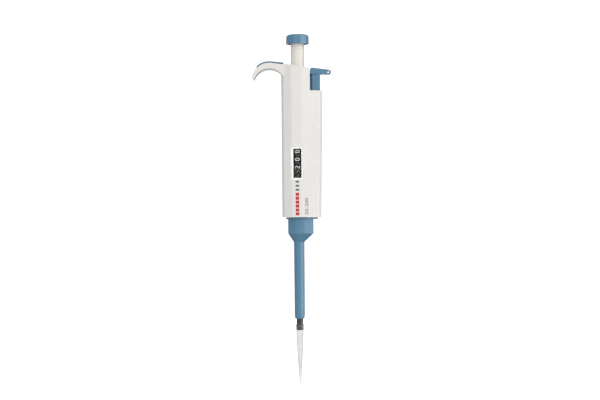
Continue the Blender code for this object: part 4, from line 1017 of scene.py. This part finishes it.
# %% Tip
collar_z = tip_top - 4.6
outside = [(0.53, 0.0), (0.56, 0.06), (1.565, 17.5), (2.52, 34.2), (2.62, 35.4), (3.12, collar_z - 0.15),
           (3.22, collar_z), (3.3, collar_z + 0.3), (3.3, tip_top - 0.15), (3.2, tip_top)]
inside = [(2.95, tip_top), (2.83, tip_top - 0.3), (2.58, nose_z), (2.0, 35.0), (0.9, 17.5), (0.24, 0.0)]
tip = turned(outside + inside, 96)
for k in range(12):
    rib = block((3.2, -0.14, collar_z + 0.5), (3.42, 0.14, tip_top - 0.5))
    tip = cut(tip, swung(rib, 30 * k + 15), "UNION")
tip_piece = keep("fitted_tip", tip, tip_plastic, "tip", ["pipette_tip"], 30)
tip_piece.visible_shadow = False

# %% [markdown]
# ## Springs
# A coil is one small circle spun round the axis while it climbs, which is what spin's `dvec`
# is for. The first and the last turn lie close, as on a real ground spring.

# %% Coils
def coil(name, node, body, turns):
    low, high = spot(node)
    centre = (low + high) / 2
    wire = 0.25 if node == "piston_spring" else 0.35
    radius = (high.x - low.x) / 2 - wire
    bm = bmesh.new()
    bmesh.ops.create_circle(bm, segments=10, radius=wire, cap_ends=True)
    moved(swung(bm, 90, "X"), radius, 0, low.z + wire)
    close = 2.1 * wire
    climb = high.z - low.z - 2 * wire - 2 * close
    geom = bm.verts[:] + bm.edges[:] + bm.faces[:]
    for count, rise in ((1, close), (turns, climb), (1, close)):
        steps = 32 * count
        made = bmesh.ops.spin(bm, geom=geom, cent=(0, 0, 0), axis=(0, 0, 1), dvec=(0, 0, rise / steps),
                              angle=2 * pi * count, steps=steps, use_merge=False)
        geom = made["geom_last"]
    bmesh.ops.recalc_face_normals(bm, faces=bm.faces)
    item = keep(name, moved(bm, centre.x, centre.y), spring_steel, body, [node], 60)
    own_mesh(item)


coil("piston_return_spring", "piston_spring", "blowout", 8)
coil("blow_out_spring", "blowout_spring", "handle", 3)
coil("ejector_return_spring", "ejector_spring", "handle", 7)

# %% [markdown]
# ## Finishes for the inner pieces
# The pieces inside keep their CAD shapes. Each gets the finish of what it is made of, and
# the two see-through CAD pieces are already stood for by finer ones.

# %% Dress the CAD pieces
made_of = {
    white_plastic: "handle_front handle_back finger_hook",
    ivory_plastic: "button_sleeve",
    blue_plastic: "hook_pad ejector_sleeve ejector_button push_button",
    dark_plastic: "tip_cone seal_retainer blowout_seat ejector_collar top_bush",
    black_plastic: "hundreds_wheel tens_wheel units_wheel counter_base_ring",
    natural_plastic: "piston_seal piston_cap lower_carry_pinion upper_carry_pinion counter_frame "
                     "setting_nut",
    clear_lens: "window_lens",
    tip_plastic: "pipette_tip",
    seal_rubber: "piston_o_ring brake_ring",
    polished_steel: "piston ejector_rod pinion_shaft plunger_rod",
    spring_steel: "blowout_spring piston_spring ejector_spring",
    turned_brass: "cone_nut volume_screw stop_collar",
}
finish_of = {node: material for material, nodes in made_of.items() for node in nodes.split()}
for node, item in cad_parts.items():
    item.data.materials.clear()
    item.data.materials.append(finish_of[node])
shown = [node for node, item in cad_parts.items() if not item.hide_render]
print("CAD pieces that still show:", len(shown))

# %% [markdown]
# ## Floor and light
# The pipette hangs upright against white, above a wide pale floor. The camera sees an even
# white world, also through the tip, but the light that falls on the pipette comes from a
# softer one, brightest in front and above. A large lamp from the right front brightens the
# facets that face it, a sheen lamp beside it only adds the upright highlights, and a lamp
# behind keeps the back from going dark.

# %% Floor
bm = bmesh.new()
bmesh.ops.create_circle(bm, segments=96, radius=4.0, cap_ends=True)
bmesh.ops.translate(bm, verts=bm.verts, vec=(AXIS_AT.x, 0, AXIS_AT.z - 0.06))
floor_item = as_object(bm, "studio_floor")
floor_finish, tree, shader = new_finish("floor_paper")
pale = shades(tree, noise(tree, 30, 4), (0.62, 0.62, 0.62), (0.58, 0.58, 0.58))
tree.links.new(pale, shader.inputs["Base Color"])
tree.links.new(between(tree, noise(tree, 200, 3), 0.7, 0.85), shader.inputs["Roughness"])
shader.inputs["Emission Color"].default_value = (1, 1, 1, 1)
shader.inputs["Emission Strength"].default_value = 0.72
floor_item.data.materials.append(floor_finish)
floor_item.visible_diffuse = False
floor_item.visible_glossy = False
floor_item.visible_shadow = False
floor_item.visible_transmission = False

# %% World
world = bpy.data.worlds.new("white_studio")
bpy.context.scene.world = world
world.use_nodes = True
tree = world.node_tree
backdrop = tree.nodes["Background"]
backdrop.inputs["Color"].default_value = (1, 1, 1, 1)
backdrop.inputs["Strength"].default_value = 1.25
soft = tree.nodes.new("ShaderNodeBackground")
soft.inputs["Color"].default_value = (1.0, 0.995, 0.985, 1)
sky = tree.nodes.new("ShaderNodeTexCoord")
towards = tree.nodes.new("ShaderNodeVectorMath")
towards.operation = "DOT_PRODUCT"
towards.inputs[1].default_value = (0.2, -0.86, 0.46)
spread = tree.nodes.new("ShaderNodeMapRange")
spread.inputs["From Min"].default_value = -1
spread.inputs["To Min"].default_value = 0.16
spread.inputs["To Max"].default_value = 1.06
tree.links.new(sky.outputs["Generated"], towards.inputs[0])
tree.links.new(towards.outputs["Value"], spread.inputs["Value"])
tree.links.new(spread.outputs["Result"], soft.inputs["Strength"])
rays = tree.nodes.new("ShaderNodeLightPath")
direct = tree.nodes.new("ShaderNodeMath")
direct.operation = "MAXIMUM"
choose = tree.nodes.new("ShaderNodeMixShader")
tree.links.new(rays.outputs["Is Camera Ray"], direct.inputs[0])
tree.links.new(rays.outputs["Is Transmission Ray"], direct.inputs[1])
tree.links.new(direct.outputs["Value"], choose.inputs["Fac"])
tree.links.new(soft.outputs["Background"], choose.inputs[1])
tree.links.new(backdrop.outputs["Background"], choose.inputs[2])
tree.links.new(choose.outputs["Shader"], tree.nodes["World Output"].inputs["Surface"])
bpy.context.scene.view_settings.view_transform = "Standard"

# %% Lamps
def lamp(name, size, place, aim, power, sheen_only=False):
    """A soft rectangular light, sizes in metres; sheen_only leaves it to reflections."""
    data = bpy.data.lights.new(name, "AREA")
    data.shape = "RECTANGLE"
    data.size, data.size_y = size
    data.energy = power
    item = bpy.data.objects.new(name, data)
    bpy.context.scene.collection.objects.link(item)
    item.location = place
    item.rotation_euler = (Vector(aim) - Vector(place)).to_track_quat("-Z", "Y").to_euler()
    item.visible_diffuse = not sheen_only


middle = Vector((AXIS_AT.x, 0, AXIS_AT.z + 0.15))
lamp("key_right_front", (0.6, 1.0), middle + Vector((0.6, -1.2, 0.5)), middle, 3.1)
lamp("sheen_right", (0.55, 1.3), middle + Vector((1.0, -0.5, 0.1)), middle, 7.5, sheen_only=True)
lamp("back_fill", (0.9, 1.0), middle + Vector((-0.3, 1.3, 0.3)), middle, 4)

# %% [markdown]
# ## Camera
# The camera stands level, 1.2 m in front, a little above the middle of the sleeve, with a long
# lens so that the pipette is not distorted. The pipette leans by half a degree in the view.

# %% Camera
camera_data = bpy.data.cameras.new("camera")
camera_data.sensor_width = 36
camera_data.lens = 88
camera_data.clip_start = 0.05
camera_data.clip_end = 50
camera = bpy.data.objects.new("camera", camera_data)
bpy.context.scene.collection.objects.link(camera)
camera.location = (AXIS_AT.x + 0.001, -1.2, AXIS_AT.z + 0.1526)
camera.rotation_euler = (radians(90), radians(0.53), 0)
bpy.context.scene.camera = camera
